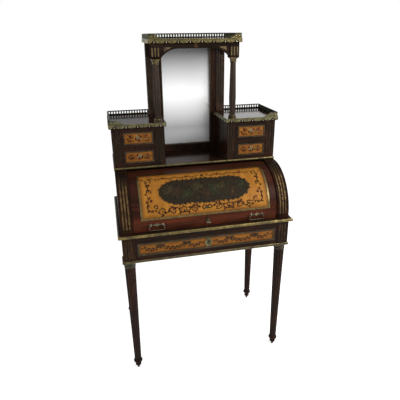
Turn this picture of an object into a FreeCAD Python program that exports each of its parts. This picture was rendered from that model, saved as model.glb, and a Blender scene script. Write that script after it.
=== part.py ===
import FreeCAD, Part
import math
import os

from FreeCAD import Vector

# Bonheur du jour: a small writing desk with a revolving cylinder front, a pull-out
# writing slide, a frieze drawer and a mirrored superstructure with four small drawers.
# Millimetres. X to the right, -Y to the front, Z up, origin on the floor under the middle.

# Case
CASE_WIDTH = 768.0
DESK_DEPTH = 490.0
SLAB_OVERHANG = 15.0
LEG_HEIGHT = 614.0
APRON_HEIGHT = 126.0
BED_THICKNESS = 14.0
BACK_INSET = 6.0
BOARD = 18.0

# Legs
BLOCK = 54.0
FOOT_TIP_RADIUS = 4.5
FOOT_CONE_HEIGHT = 26.0
FOOT_BEAD_RADIUS = 14.5
FOOT_BEAD_HEIGHT = 6.0
FOOT_BEAD_REACH = 2.5
FOOT_NECK_HEIGHT = 5.0
FOOT_RING_RADIUS = 22.0
FOOT_RING_HEIGHT = 16.0
ANKLE_HEIGHT = 5.0
ANKLE_RADIUS = 16.5
LEG_TOP_RADIUS = 24.5
LEG_FLUTES = 12
SHAFT_FLUTE_DEPTH = 0.13
NECK_RADIUS = 19.0
COLLAR_HEIGHT = 28.0
COLLAR_RADIUS = 27.0
COLLAR_STEP = 2.5
COLLAR_LOWER_RING = 10.0
COLLAR_LOWER_SWELL = 1.8
COLLAR_COVE = 4.0
COLLAR_COVE_DEPTH = 1.0

# Brass-lined flutes on the flat faces
FLUTE_WIDTH = 7.0
FLUTE_PITCH = 13.0
FLUTE_DEPTH = 3.0
FLUTE_COUNT = 3
FLUTE_MARGIN = 16.0
FLUTE_FOOT_MARGIN = 8.0
INLAY_THICKNESS = 1.2

# Apron and frieze drawer
APRON_RECESS = 2.0
RAIL_RECESS = 6.0
BOTTOM_RAIL = 20.0
TOP_RAIL = 22.0
RAIL_DEPTH = 20.0
APRON_MOULDING_HEIGHT = 13.0
APRON_MOULDING_DEPTH = 5.0
RUNNER_WIDTH = 28.0
RUNNER_THICKNESS = 14.0
GUIDE_HEIGHT = 26.0
FRIEZE_FRONT_THICKNESS = 18.0
FRIEZE_BACK_GAP = 76.0
FRIEZE_TRAY_DROP = 17.0
FRIEZE_WALL = 11.0
TRAY_BOTTOM = 5.0
TRAY_BOTTOM_RISE = 4.0
FRIEZE_MARGIN = 11.0
FRIEZE_FRAME_WIDTH = 8.0

# Let-in brass frames and painted panels
RECESS_DEPTH = 4.0
FRAME_PROUD = 1.5
PANEL_SUNK = 0.8

# Locks and keyholes
ESCUTCHEON_HALF_WIDTH = 16.0
ESCUTCHEON_GAP = 2.3
ESCUTCHEON_THICKNESS = 2.0
ESCUTCHEON_RIM = 4.5
ESCUTCHEON_RIM_PROUD = 1.5
KEYHOLE_CLEARANCE = 0.8
LOCK_WIDTH = 56.0
LOCK_HEIGHT = 34.0
LOCK_DEPTH = 13.0
LOCK_CLEARANCE = 2.0
LOCK_WALL = 3.0

# Slab edge and writing slide
MOULDING_DEPTH = 7.0
SLIDE_EDGE = 8.0
SLIDE_BACK_OFFSET = 40.0
TONGUE_REACH = 8.0
TONGUE_THICKNESS = 5.0
TONGUE_SETBACK = 20.0
DUST_BOARD = 6.0
LEATHER_THICKNESS = 1.4
LEATHER_SIDE_MARGIN = 34.0
LEATHER_FRONT_MARGIN = 42.0
LEATHER_BACK_MARGIN = 14.0

# Cheeks and cylinder
CHEEK_RADIUS = 203.0
CHEEK_SETBACK = 22.0
PIVOT_RISE = 17.0
CHEEK_GROOVE_START = 1.0
CHEEK_GROOVE_END = 84.0
LID_SETBACK = 7.0
LID_THICKNESS = 16.0
LID_TOP_ANGLE = 96.0
LID_LIFT = 0.6
LID_SIDE_GAP = 1.0
LID_FRAME_MARGIN = 35.0
LID_FRAME_START = 10.2
LID_FRAME_END = 76.5
LID_FRAME_WIDTH = 8.0
ARM_THICKNESS = 9.0
ARM_START = 12.0
ARM_END = 78.0
HUB_RADIUS = 14.0
PIVOT_RADIUS = 6.0
PIVOT_LENGTH = 22.0
CASE_BACK_THICKNESS = 8.0

# Drop handles and key on the cylinder
HANDLE_INSET = 101.0
HANDLE_RISE = 12.7
POST_SPREAD = 26.0
POST_REACH = 9.0
POST_FLANGE_RADIUS = 6.0
POST_FLANGE_HEIGHT = 1.0
POST_TAPER = 2.0
POST_STEM_RADIUS = 2.6
POST_BALL_RADIUS = 4.2
BACKPLATE_HEIGHT = 8.0
BACKPLATE_THICKNESS = 1.2
BACKPLATE_TIP = 2.0
BAIL_DROP = 22.0
BAIL_RADIUS = 1.8
BAIL_BEND = 2.5
BAIL_GAP = 0.3
KEY_RISE = 8.5
KEY_PLATE_HALF_WIDTH = 8.5
KEY_PLATE_HALF_HEIGHT = 15.5
KEY_PLATE_SWELL = 0.75
KEY_STEM_RADIUS = 2.4
KEY_STEM_REACH = 12.0
KEY_BOW_HALF_WIDTH = 11.2
KEY_BOW_LENGTH = 14.0
KEY_BOW_BAND = 3.2
KEY_BOW_THICKNESS = 3.0
KEY_BIT_REACH = 8.0
KEY_BIT_LENGTH = 5.0
KEY_BIT_THICKNESS = 2.0

# Pigeonholes behind the cylinder
PIGEONHOLE_SIDE_GAP = 34.0
PIGEONHOLE_HEIGHT = 104.0
PIGEONHOLE_SETBACK = 5.0
PIGEONHOLE_BOARD = 6.0
PIGEONHOLE_CLEARANCE = 12.0
PIGEONHOLE_COUNT = 4

# Upper slab
UPPER_THICKNESS = 12.0
UPPER_SETBACK = 16.0
UPPER_MOULDING_DEPTH = 6.0
UPPER_EDGE_INSET = 3.0

# Drawer boxes
BOX_HEIGHT = 178.0
BOX_SETBACK = 1.0
PILASTER_WIDTH = 39.0
PILASTER_DEPTH = 18.0
BOX_WALL = 12.0
BOX_BACK = 8.0
BOX_FLOOR = 5.0
BOX_DIVIDER = 6.0
BOX_TOP_RAIL = 7.0
BOX_GUIDE_HEIGHT = 14.0
BOX_TOP_THICKNESS = 19.0
TOP_OVERHANG = 7.5
SMALL_FRONT_THICKNESS = 14.0
SMALL_BACK_GAP = 25.0
SMALL_TRAY_DROP = 17.0
SMALL_WALL = 7.0
SMALL_MARGIN = 12.0
SMALL_FRAME_WIDTH = 5.0

# Galleries and scalloped edges
GALLERY_HEIGHT = 21.0
GALLERY_THICKNESS = 3.0
GALLERY_RAIL = 3.0
GALLERY_RAIL_WIDTH = 6.0
SPINDLE_PITCH = 14.0
SPINDLE_NECK = 3.2
SPINDLE_BELLY = 6.0
SPINDLE_BELLY_HEIGHT = 0.4
SCROLL_LENGTH = 62.0
SCROLL_CREST = 30.0
SCROLL_HEIGHT = 18.0
SCROLL_ROUND = 7.0
LAMBREQUIN_THICKNESS = 2.5
LAMBREQUIN_HEIGHT = 17.0
LAMBREQUIN_PITCH = 50.0
LOBE_RISE = 3.0
NOTCH_WIDTH = 18.0
NOTCH_HEIGHT = 9.0
DROP_WIDTH = 6.0

# Columns, canopy and mirror
COLUMN_HEIGHT = 267.0
COLUMN_BLOCK = 41.0
CANOPY_HALF_WIDTH = 193.0
COLUMN_INSET = 3.0
CANOPY_PROJECTION = 10.0
COLUMN_FLUTES = 10
COLUMN_BASE_HEIGHT = 16.0
COLUMN_BASE_RADIUS = 18.0
COLUMN_PLINTH = 5.0
COLUMN_BASE_STEP = 2.0
COLUMN_BASE_SWELL = 1.5
COLUMN_FOOT_RADIUS = 13.6
COLUMN_BELLY_RADIUS = 16.4
COLUMN_BELLY_HEIGHT = 0.34
COLUMN_TOP_RADIUS = 12.6
CAPITAL_HEIGHT = 22.0
CAPITAL_RADIUS = 18.0
CAPITAL_LIP = 1.5
NECKING_HEIGHT = 4.0
NECKING_REACH = 1.0
ABACUS_HEIGHT = 4.0
FRIEZE_HEIGHT = 62.0
ARCH_THICKNESS = 15.0
ARCH_RECESS = 3.0
ARCH_RISE = 40.0
ARCH_FLAT = 75.0
SIDE_ARCH_FLAT = 20.5
SPANDREL_INSET = 16.0
SPANDREL_LENGTH = 34.0
SPANDREL_HEIGHT = 16.0
ROSETTE_RADIUS = 9.0
CANOPY_THICKNESS = 17.0
REAR_PILASTER_DEPTH = 18.0
PLINTH_HEIGHT = 16.0
PLINTH_PROUD = 3.0
BACKBOARD = 5.0
MIRROR_STILE = 31.0
MIRROR_FRAME_DEPTH = 16.0
MIRROR_BOTTOM_RAIL = 36.0
MIRROR_TOP_RAIL = 14.0
MIRROR_THICKNESS = 4.0
MIRROR_LAP = 4.0
BEAD_WIDTH = 4.0
BEAD_PROUD = 1.8

# Clearances
SEAT = 0.1
RUNNING = 0.5
PIVOT_CLEARANCE = 0.08
CUT_PAST = 2.0
SAME_POINT = 1e-6

# Places that follow from the sizes above
HALF = CASE_WIDTH / 2
FRONT = -DESK_DEPTH / 2
BACK = DESK_DEPTH / 2
BLOCK_FRONT = FRONT + SLAB_OVERHANG
LEG_X = HALF - BLOCK / 2
LEG_FRONT_Y = BLOCK_FRONT + BLOCK / 2
LEG_REAR_Y = BACK - BLOCK / 2
INNER = HALF - BLOCK
FOOT_HEIGHT = FOOT_CONE_HEIGHT + FOOT_BEAD_HEIGHT + FOOT_NECK_HEIGHT + FOOT_RING_HEIGHT + ANKLE_HEIGHT
KEYHOLE_RADIUS = KEY_STEM_RADIUS + KEYHOLE_CLEARANCE
LOCK_CAVITY_RADIUS = KEY_BIT_REACH + LOCK_CLEARANCE
APRON_FRONT = BLOCK_FRONT + APRON_RECESS
APRON_OUTER = HALF - RAIL_RECESS
APRON_BACK = BACK - RAIL_RECESS
BED_BOTTOM = LEG_HEIGHT + APRON_HEIGHT
BED_TOP = BED_BOTTOM + BED_THICKNESS
DRAWER_BOTTOM = LEG_HEIGHT + BOTTOM_RAIL
DRAWER_TOP = BED_BOTTOM - TOP_RAIL
SLAB_HALF = HALF + SLAB_OVERHANG - MOULDING_DEPTH
SLAB_FRONT = FRONT + MOULDING_DEPTH
PIVOT_Y = FRONT + CHEEK_SETBACK + CHEEK_RADIUS
PIVOT_Z = BED_TOP + PIVOT_RISE
LID_OUTER = CHEEK_RADIUS - LID_SETBACK
LID_INNER = LID_OUTER - LID_THICKNESS
LID_HALF = INNER - LID_SIDE_GAP
LID_BOTTOM_ANGLE = -math.degrees(math.asin((PIVOT_RISE - LID_LIFT) / LID_OUTER))
SLIDE_BACK = PIVOT_Y + SLIDE_BACK_OFFSET
SLIDE_HALF_WIDTH = INNER - SLIDE_EDGE
HANDLE_OFFSET = LID_HALF - HANDLE_INSET
BAIL_HALF_WIDTH = POST_SPREAD + POST_BALL_RADIUS + BAIL_BEND + BAIL_GAP
PIGEONHOLE_HALF_WIDTH = INNER - PIGEONHOLE_SIDE_GAP
HANDLE_Z = PIVOT_Z + HANDLE_RISE
KEY_Z = PIVOT_Z + KEY_RISE
LID_FACE = PIVOT_Y - LID_OUTER - SEAT
UPPER_BOTTOM = PIVOT_Z + CHEEK_RADIUS
UPPER_TOP = UPPER_BOTTOM + UPPER_THICKNESS
UPPER_FRONT = PIVOT_Y + UPPER_SETBACK
UPPER_BACK = BACK - BACK_INSET
BOX_FRONT = UPPER_FRONT + BOX_SETBACK
BOX_ROOF = UPPER_TOP + BOX_HEIGHT
BOX_TOP = BOX_ROOF + BOX_TOP_THICKNESS
NICHE_HALF_WIDTH = CANOPY_HALF_WIDTH - COLUMN_BLOCK - COLUMN_INSET
BAY_IN = NICHE_HALF_WIDTH + PILASTER_WIDTH
BAY_OUT = HALF - PILASTER_WIDTH
BAY_HEIGHT = (BOX_HEIGHT - BOX_FLOOR - BOX_DIVIDER - BOX_TOP_RAIL) / 2
LOWER_BAY = UPPER_TOP + BOX_FLOOR
UPPER_BAY = LOWER_BAY + BAY_HEIGHT + BOX_DIVIDER
FRIEZE_BOTTOM = BOX_TOP + COLUMN_HEIGHT
FRIEZE_TOP = FRIEZE_BOTTOM + FRIEZE_HEIGHT
CANOPY_TOP = FRIEZE_TOP + CANOPY_THICKNESS
CANOPY_FRONT = BOX_FRONT - CANOPY_PROJECTION
COLUMN_X = CANOPY_HALF_WIDTH - COLUMN_BLOCK / 2
COLUMN_Y = CANOPY_FRONT + COLUMN_BLOCK / 2
BACKBOARD_FRONT = UPPER_BACK - BACKBOARD
REAR_FRONT = BACKBOARD_FRONT - REAR_PILASTER_DEPTH
MIRROR_FRONT = BACKBOARD_FRONT - MIRROR_FRAME_DEPTH
MIRROR_HALF_WIDTH = NICHE_HALF_WIDTH - MIRROR_STILE
MIRROR_BOTTOM = UPPER_TOP + MIRROR_BOTTOM_RAIL
MIRROR_TOP = FRIEZE_TOP - MIRROR_TOP_RAIL


# Outlines and solids

def outline(steps, place):
    """Closed face through steps: (u, v) ends a straight edge, (um, vm, u, v) an arc through (um, vm)."""
    here = place(*steps[0][-2:])
    edges = []
    for step in steps[1:] + steps[:1]:
        there = place(*step[-2:])
        if len(step) == 4:
            edges.append(Part.Arc(here, place(*step[:2]), there).toShape())
        elif here.distanceToPoint(there) > SAME_POINT:
            edges.append(Part.LineSegment(here, there).toShape())
        here = there
    return Part.Face(Part.Wire(edges))


def prism_x(steps, x0, x1):
    """Outline in Y and Z carried from x0 to x1."""
    return outline(steps, lambda y, z: Vector(x0, y, z)).extrude(Vector(x1 - x0, 0, 0))


def prism_y(steps, y0, y1):
    """Outline in X and Z carried from y0 to y1."""
    return outline(steps, lambda x, z: Vector(x, y0, z)).extrude(Vector(0, y1 - y0, 0))


def prism_z(steps, z0, z1):
    """Outline in X and Y carried from z0 to z1."""
    return outline(steps, lambda x, y: Vector(x, y, z0)).extrude(Vector(0, 0, z1 - z0))


def lathe(steps, x, y):
    """Turned solid: an outline in radius and height about the upright axis at x, y."""
    face = outline(steps, lambda r, z: Vector(x + r, y, z))
    return face.revolve(Vector(x, y, 0), Vector(0, 0, 1), 360)


def board(x0, x1, y0, y1, z0, z1):
    """Plain board between two corners."""
    return Part.makeBox(x1 - x0, y1 - y0, z1 - z0, Vector(x0, y0, z0))


def rod_x(radius, x0, x1, y, z):
    """Round rod along X."""
    return Part.makeCylinder(radius, x1 - x0, Vector(x0, y, z), Vector(1, 0, 0))


def rod_y(radius, x, y0, y1, z):
    """Round rod along Y."""
    return Part.makeCylinder(radius, y1 - y0, Vector(x, y0, z), Vector(0, 1, 0))


def mirrored(solid):
    """The same solid on the other side of the middle plane."""
    return solid.mirror(Vector(0, 0, 0), Vector(1, 0, 0))


def both_sides(solids):
    """The solids and their mirror images."""
    return solids + [mirrored(solid) for solid in solids]


def save(node, solids):
    """Write one node, which may be several separate solids."""
    shape = solids[0] if len(solids) == 1 else Part.makeCompound(solids)
    shape.exportStep(os.path.join("parts", node + ".step"))


# Shared forms

def half_round(depth, z0, z1):
    """Section of a moulding with a rounded nose, as outward reach and height."""
    flat = depth / 2
    return [(0, z0), (flat, z0), (depth, (z0 + z1) / 2, flat, z1), (0, z1)]


def moved(section, place):
    """Section steps carried to another pair of axes."""
    return [sum((place(*step[i:i + 2]) for i in range(0, len(step), 2)), ()) for step in section]


def front_strip(section, depth, x0, x1, y, mitre0=0.0, mitre1=0.0):
    """Moulding along X with its back at y; a mitre lets that end meet a strip on the side."""
    heights = [step[-1] for step in section]
    bar = prism_x(moved(section, lambda out, z: (y - out, z)), x0 - mitre0, x1 + mitre1)
    corners = [(x0, y), (x1, y), (x1 + mitre1, y - depth), (x0 - mitre0, y - depth)]
    return bar.common(prism_z(corners, min(heights), max(heights)))


def side_strip(section, depth, x, y0, y1, mitre0=0.0):
    """Moulding along Y on a face that looks to +X, mitred at its front end."""
    heights = [step[-1] for step in section]
    bar = prism_y(moved(section, lambda out, z: (x + out, z)), y0 - mitre0, y1)
    corners = [(x, y0), (x, y1), (x + depth, y1), (x + depth, y0 - mitre0)]
    return bar.common(prism_z(corners, min(heights), max(heights)))


def slot(u, z0, z1, width):
    """Upright slot with round ends."""
    r = width / 2
    return [(u - r, z1 - r), (u, z1, u + r, z1 - r), (u + r, z0 + r), (u, z0, u - r, z0 + r)]


def lining(u, z0, z1, width):
    """Brass strip for a slot, with its corners cut off to clear the round ends."""
    r = width / 2
    return [(u - r, z0 + r), (u, z0), (u + r, z0 + r), (u + r, z1 - r), (u, z1), (u - r, z1 - r)]


def flute_centres(centre):
    """Places of the flutes across a face."""
    first = centre - FLUTE_PITCH * (FLUTE_COUNT - 1) / 2
    return [first + FLUTE_PITCH * i for i in range(FLUTE_COUNT)]


def front_flutes(solid, centre, y, z0, z1):
    """Cut flutes into a face that looks to the front; returns the solid and the brass linings."""
    linings = []
    for u in flute_centres(centre):
        solid = solid.cut(prism_y(slot(u, z0, z1, FLUTE_WIDTH), y - CUT_PAST, y + FLUTE_DEPTH))
        strip = lining(u, z0 + SEAT, z1 - SEAT, FLUTE_WIDTH - 2 * SEAT)
        linings.append(prism_y(strip, y + FLUTE_DEPTH - INLAY_THICKNESS, y + FLUTE_DEPTH))
    return solid, linings


def side_flutes(solid, centre, x, z0, z1):
    """Cut flutes into a face that looks to +X; returns the solid and the brass linings."""
    linings = []
    for u in flute_centres(centre):
        solid = solid.cut(prism_x(slot(u, z0, z1, FLUTE_WIDTH), x - FLUTE_DEPTH, x + CUT_PAST))
        strip = lining(u, z0 + SEAT, z1 - SEAT, FLUTE_WIDTH - 2 * SEAT)
        linings.append(prism_x(strip, x - FLUTE_DEPTH, x - FLUTE_DEPTH + INLAY_THICKNESS))
    return solid, linings


def fluted_ring(x, y, z, radius, count):
    """Closed wire of hollow flutes that meet in sharp arrises on a circle."""
    turn = 2 * math.pi / count
    hollow = radius * (1 - SHAFT_FLUTE_DEPTH)

    def at(r, step):
        return Vector(x + r * math.cos(turn * step), y + r * math.sin(turn * step), z)

    arcs = [Part.Arc(at(radius, i), at(hollow, i + 0.5), at(radius, i + 1)) for i in range(count)]
    return Part.Wire([arc.toShape() for arc in arcs])


def polar(radius, degrees):
    """Point in Y and Z about the cylinder's axis; the angle rises from the front."""
    angle = math.radians(degrees)
    return (PIVOT_Y - radius * math.cos(angle), PIVOT_Z + radius * math.sin(angle))


def ring_sector(r0, r1, a0, a1, x0, x1):
    """Part of a tube about the cylinder's axis."""
    middle = (a0 + a1) / 2
    steps = [polar(r0, a0), polar(r1, a0), polar(r1, middle) + polar(r1, a1), polar(r0, a1)]
    steps[0] = polar(r0, middle) + polar(r0, a0)
    return prism_x(steps, x0, x1)


def framed_front(x0, x1, y, z0, z1, thickness, margin, width):
    """Drawer front with a let-in brass frame round a painted panel."""
    xa, xb = x0 + margin, x1 - margin
    za, zb = z0 + margin, z1 - margin
    floor = y + RECESS_DEPTH
    front = board(x0, x1, y, y + thickness, z0, z1).cut(board(xa, xb, y, floor, za, zb))
    inside = width + SEAT
    frame = board(xa + SEAT, xb - SEAT, y - FRAME_PROUD, floor, za + SEAT, zb - SEAT)
    frame = frame.cut(board(xa + inside, xb - inside, y - FRAME_PROUD, floor, za + inside, zb - inside))
    edge = inside + SEAT
    panel = board(xa + edge, xb - edge, y + PANEL_SUNK, floor, za + edge, zb - edge)
    return front, frame, panel


def tray(x0, x1, y0, y1, z0, z1, wall):
    """Drawer sides, back and bottom behind a front."""
    low = z0 + TRAY_BOTTOM_RISE
    sides = [board(x0, x0 + wall, y0, y1, z0, z1), board(x1 - wall, x1, y0, y1, z0, z1)]
    back = board(x0 + wall, x1 - wall, y1 - wall, y1, z0, z1)
    bottom = board(x0 + wall, x1 - wall, y0, y1 - wall, low, low + TRAY_BOTTOM)
    return sides + [back, bottom]


def keyed(solid, x, z, radius):
    """The solid with a round keyhole bored through it from front to back."""
    box = solid.BoundBox
    return solid.cut(rod_y(radius, x, box.YMin - CUT_PAST, box.YMax + CUT_PAST, z))


def lock_case(x, y, z):
    """Lock case fixed behind a front, open towards it over the key's bit."""
    half = LOCK_WIDTH / 2
    rise = LOCK_HEIGHT / 2
    case = board(x - half, x + half, y, y + LOCK_DEPTH, z - rise, z + rise)
    return case.cut(rod_y(LOCK_CAVITY_RADIUS, x, y, y + LOCK_DEPTH - LOCK_WALL, z))


# Legs and apron

def leg(y, front_face):
    """Right-hand leg in one piece: toupie foot, fluted taper, neck and square block."""
    bead = FOOT_BEAD_RADIUS - FOOT_BEAD_REACH
    bead_top = FOOT_CONE_HEIGHT + FOOT_BEAD_HEIGHT
    ring_low = bead_top + FOOT_NECK_HEIGHT
    ring_high = ring_low + FOOT_RING_HEIGHT
    foot = [(0, 0), (FOOT_TIP_RADIUS, 0), (bead, FOOT_CONE_HEIGHT),
            (FOOT_BEAD_RADIUS, (FOOT_CONE_HEIGHT + bead_top) / 2, bead, bead_top), (ANKLE_RADIUS, ring_low),
            (FOOT_RING_RADIUS, (ring_low + ring_high) / 2, ANKLE_RADIUS, ring_high),
            (ANKLE_RADIUS, FOOT_HEIGHT), (0, FOOT_HEIGHT)]
    shoulder = LEG_HEIGHT - COLLAR_HEIGHT
    low = fluted_ring(LEG_X, y, FOOT_HEIGHT, ANKLE_RADIUS, LEG_FLUTES)
    high = fluted_ring(LEG_X, y, shoulder, LEG_TOP_RADIUS, LEG_FLUTES)
    shaft = Part.makeLoft([low, high], True, True)
    neck = Part.makeCylinder(NECK_RADIUS, COLLAR_HEIGHT, Vector(LEG_X, y, shoulder))
    half = BLOCK / 2
    block = board(LEG_X - half, LEG_X + half, y - half, y + half, LEG_HEIGHT, BED_BOTTOM)
    z0 = LEG_HEIGHT + APRON_MOULDING_HEIGHT + FLUTE_FOOT_MARGIN
    z1 = BED_BOTTOM - FLUTE_MARGIN
    block, linings = side_flutes(block, y, HALF, z0, z1)
    if front_face:
        block, more = front_flutes(block, LEG_X, y - half, z0, z1)
        linings = linings + more
    whole = lathe(foot, LEG_X, y).fuse([shaft, neck, block])
    return whole, linings


def leg_collar(y):
    """Brass collar of two rings round the neck of a right-hand leg."""
    bore = NECK_RADIUS + SEAT
    low = LEG_HEIGHT - COLLAR_HEIGHT
    shoulder = COLLAR_RADIUS - COLLAR_STEP
    ring = low + COLLAR_LOWER_RING
    cove = shoulder - COLLAR_COVE_DEPTH
    upper = ring + COLLAR_COVE
    lip = shoulder + COLLAR_COVE_DEPTH
    steps = [(bore, low), (shoulder, low), (shoulder + COLLAR_LOWER_SWELL, (low + ring) / 2, shoulder, ring),
             (cove, ring), (cove, upper), (lip, upper),
             (COLLAR_RADIUS, (upper + LEG_HEIGHT) / 2, lip, LEG_HEIGHT), (bore, LEG_HEIGHT)]
    return lathe(steps, LEG_X, y)


def apron_rails():
    """Rails between the legs, with the runners and guides of the frieze drawer."""
    behind = APRON_FRONT + RAIL_DEPTH
    top = board(-INNER, INNER, APRON_FRONT, behind, DRAWER_TOP, BED_BOTTOM - RUNNING)
    bottom = board(-INNER, INNER, APRON_FRONT, behind, LEG_HEIGHT, DRAWER_BOTTOM)
    back = board(-INNER, INNER, APRON_BACK - BOARD, APRON_BACK, LEG_HEIGHT, BED_BOTTOM - RUNNING)
    y0 = BLOCK_FRONT + BLOCK
    y1 = BACK - BLOCK
    side = board(APRON_OUTER - BOARD, APRON_OUTER, y0, y1, LEG_HEIGHT, BED_BOTTOM)
    under = DRAWER_BOTTOM - RUNNER_THICKNESS
    runner = board(INNER - RUNNER_WIDTH, INNER, behind, APRON_BACK - BOARD, under, DRAWER_BOTTOM)
    guide = board(INNER, APRON_OUTER - BOARD, y0, y1, under, under + GUIDE_HEIGHT)
    return [top, bottom, back] + both_sides([side, runner, guide])


def apron_moulding():
    """Brass strip along the lower edge of the apron, returned round the leg blocks."""
    depth = APRON_MOULDING_DEPTH
    section = half_round(depth, LEG_HEIGHT, LEG_HEIGHT + APRON_MOULDING_HEIGHT)
    middle = front_strip(section, depth, -INNER, INNER, APRON_FRONT)
    y0 = BLOCK_FRONT + BLOCK
    y1 = BACK - BLOCK
    block_front = front_strip(section, depth, INNER, HALF, BLOCK_FRONT, 0.0, depth)
    block_side = side_strip(section, depth, HALF, BLOCK_FRONT, y0, depth)
    rear_side = side_strip(section, depth, HALF, y1, BACK)
    side = side_strip(section, depth, APRON_OUTER, y0, y1)
    return [middle] + both_sides([block_front, block_side, rear_side, side])


def oval_plate(wide, tall, y, z, thickness):
    """Upright oval plate standing out from a face at y."""
    centre = Vector(0, y, z)
    oval = Part.Ellipse(centre + Vector(0, 0, tall), centre + Vector(wide, 0, 0), centre)
    return Part.Face(Part.Wire(oval.toShape())).extrude(Vector(0, -thickness, 0))


def frieze_drawer():
    """Wide drawer in the apron; returns front, frame, panel, tray and lock."""
    x1 = INNER - RUNNING
    z0 = DRAWER_BOTTOM + RUNNING
    z1 = DRAWER_TOP - RUNNING
    thickness = FRIEZE_FRONT_THICKNESS
    front, frame, panel = framed_front(-x1, x1, APRON_FRONT, z0, z1, thickness,
                                       FRIEZE_MARGIN, FRIEZE_FRAME_WIDTH)
    behind = APRON_FRONT + thickness
    end = APRON_BACK - BOARD - FRIEZE_BACK_GAP
    boards = tray(-x1, x1, behind, end, z0, z1 - FRIEZE_TRAY_DROP, FRIEZE_WALL)
    key_z = (z0 + z1) / 2
    front = keyed(front, 0, key_z, KEYHOLE_RADIUS)
    panel = keyed(panel, 0, key_z, KEYHOLE_RADIUS)
    face = APRON_FRONT + PANEL_SUNK
    wide = ESCUTCHEON_HALF_WIDTH
    tall = panel.BoundBox.ZLength / 2 - ESCUTCHEON_GAP
    rim = ESCUTCHEON_RIM
    proud = ESCUTCHEON_THICKNESS + ESCUTCHEON_RIM_PROUD
    ring = oval_plate(wide, tall, face, key_z, proud)
    ring = ring.cut(oval_plate(wide - rim, tall - rim, face, key_z, proud))
    plate = oval_plate(wide, tall, face, key_z, ESCUTCHEON_THICKNESS).fuse(ring)
    plate = keyed(plate, 0, key_z, KEYHOLE_RADIUS)
    return front, frame, panel, boards, [plate, lock_case(0, behind, key_z)]


# Slab, writing slide and cheeks

def desk_bed():
    """Fixed part of the slab round the writing slide, with the dust board under it."""
    x0 = SLIDE_HALF_WIDTH + RUNNING
    middle = (BED_BOTTOM + BED_TOP) / 2
    strip = board(x0, SLAB_HALF, SLAB_FRONT, BACK, BED_BOTTOM, BED_TOP)
    tongue = board(x0 - TONGUE_REACH, x0, FRONT + TONGUE_SETBACK, SLIDE_BACK,
                   middle - TONGUE_THICKNESS / 2, middle + TONGUE_THICKNESS / 2)
    rear = board(-x0, x0, SLIDE_BACK, BACK, BED_BOTTOM, BED_TOP)
    dust_x = APRON_OUTER - BOARD
    y0 = BLOCK_FRONT + BLOCK
    dust_top = BED_BOTTOM - RUNNING
    dust = board(-dust_x, dust_x, y0, BACK - BLOCK, dust_top - DUST_BOARD, dust_top)
    return both_sides([strip.fuse(tongue)]) + [rear, dust]


def slab_section():
    """Rounded brass edge of the slab."""
    return half_round(MOULDING_DEPTH, BED_BOTTOM, BED_TOP)


def desk_moulding():
    """Fixed brass edge of the slab, broken at the front for the writing slide."""
    depth = MOULDING_DEPTH
    x0 = SLIDE_HALF_WIDTH + RUNNING
    corner = front_strip(slab_section(), depth, x0, SLAB_HALF, SLAB_FRONT, 0.0, depth)
    side = side_strip(slab_section(), depth, SLAB_HALF, SLAB_FRONT, BACK, depth)
    return both_sides([corner, side])


def writing_slide():
    """Sliding writing board with grooved edges, its leather and its brass front edge."""
    wide = SLIDE_HALF_WIDTH
    behind = SLIDE_BACK - RUNNING
    slide = board(-wide, wide, SLAB_FRONT, behind, BED_BOTTOM, BED_TOP)
    middle = (BED_BOTTOM + BED_TOP) / 2
    half = TONGUE_THICKNESS / 2 + RUNNING
    groove = board(wide - TONGUE_REACH, wide, FRONT + TONGUE_SETBACK - RUNNING, behind,
                   middle - half, middle + half)
    x = wide - LEATHER_SIDE_MARGIN
    y0 = FRONT + LEATHER_FRONT_MARGIN
    y1 = behind - LEATHER_BACK_MARGIN
    low = BED_TOP - LEATHER_THICKNESS
    slide = slide.cut(both_sides([groove]) + [board(-x, x, y0, y1, low, BED_TOP)])
    leather = board(SEAT - x, x - SEAT, y0 + SEAT, y1 - SEAT, low, BED_TOP)
    edge = front_strip(slab_section(), MOULDING_DEPTH, -wide, wide, SLAB_FRONT)
    return slide, leather, edge


def cheek():
    """Right-hand quarter-round cheek with brass-lined flutes and a pivot bore."""
    foot = PIVOT_Y - CHEEK_RADIUS
    steps = [(foot, BED_TOP), (foot, PIVOT_Z), polar(CHEEK_RADIUS, 45) + polar(CHEEK_RADIUS, 90),
             (BACK, UPPER_BOTTOM), (BACK, BED_TOP)]
    solid = prism_x(steps, INNER, HALF)
    linings = []
    floor = CHEEK_RADIUS - FLUTE_DEPTH
    inset = math.degrees(SEAT / floor)
    for x in flute_centres((INNER + HALF) / 2):
        x0 = x - FLUTE_WIDTH / 2
        x1 = x + FLUTE_WIDTH / 2
        a0 = CHEEK_GROOVE_START
        a1 = CHEEK_GROOVE_END
        solid = solid.cut(ring_sector(floor, CHEEK_RADIUS + CUT_PAST, a0, a1, x0, x1))
        strip = ring_sector(floor + SEAT, floor + SEAT + INLAY_THICKNESS, a0 + inset, a1 - inset,
                            x0 + SEAT, x1 - SEAT)
        linings.append(strip)
    bore = rod_x(PIVOT_RADIUS + PIVOT_CLEARANCE, INNER, INNER + PIVOT_LENGTH, PIVOT_Y, PIVOT_Z)
    return solid.cut(bore), linings


def case_back():
    """Back board of the cylinder case."""
    y1 = BACK - BACK_INSET
    return board(-INNER, INNER, y1 - CASE_BACK_THICKNESS, y1, BED_TOP, UPPER_BOTTOM)


# Cylinder

def cylinder_shell():
    """Curved shutter with a recess for its framed panel and a keyhole."""
    shell = ring_sector(LID_INNER, LID_OUTER, LID_BOTTOM_ANGLE, LID_TOP_ANGLE, -LID_HALF, LID_HALF)
    half = LID_HALF - LID_FRAME_MARGIN
    recess = ring_sector(LID_OUTER - RECESS_DEPTH, LID_OUTER + CUT_PAST, LID_FRAME_START, LID_FRAME_END,
                         -half, half)
    return keyed(shell.cut(recess), 0, KEY_Z, KEYHOLE_RADIUS)


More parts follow.
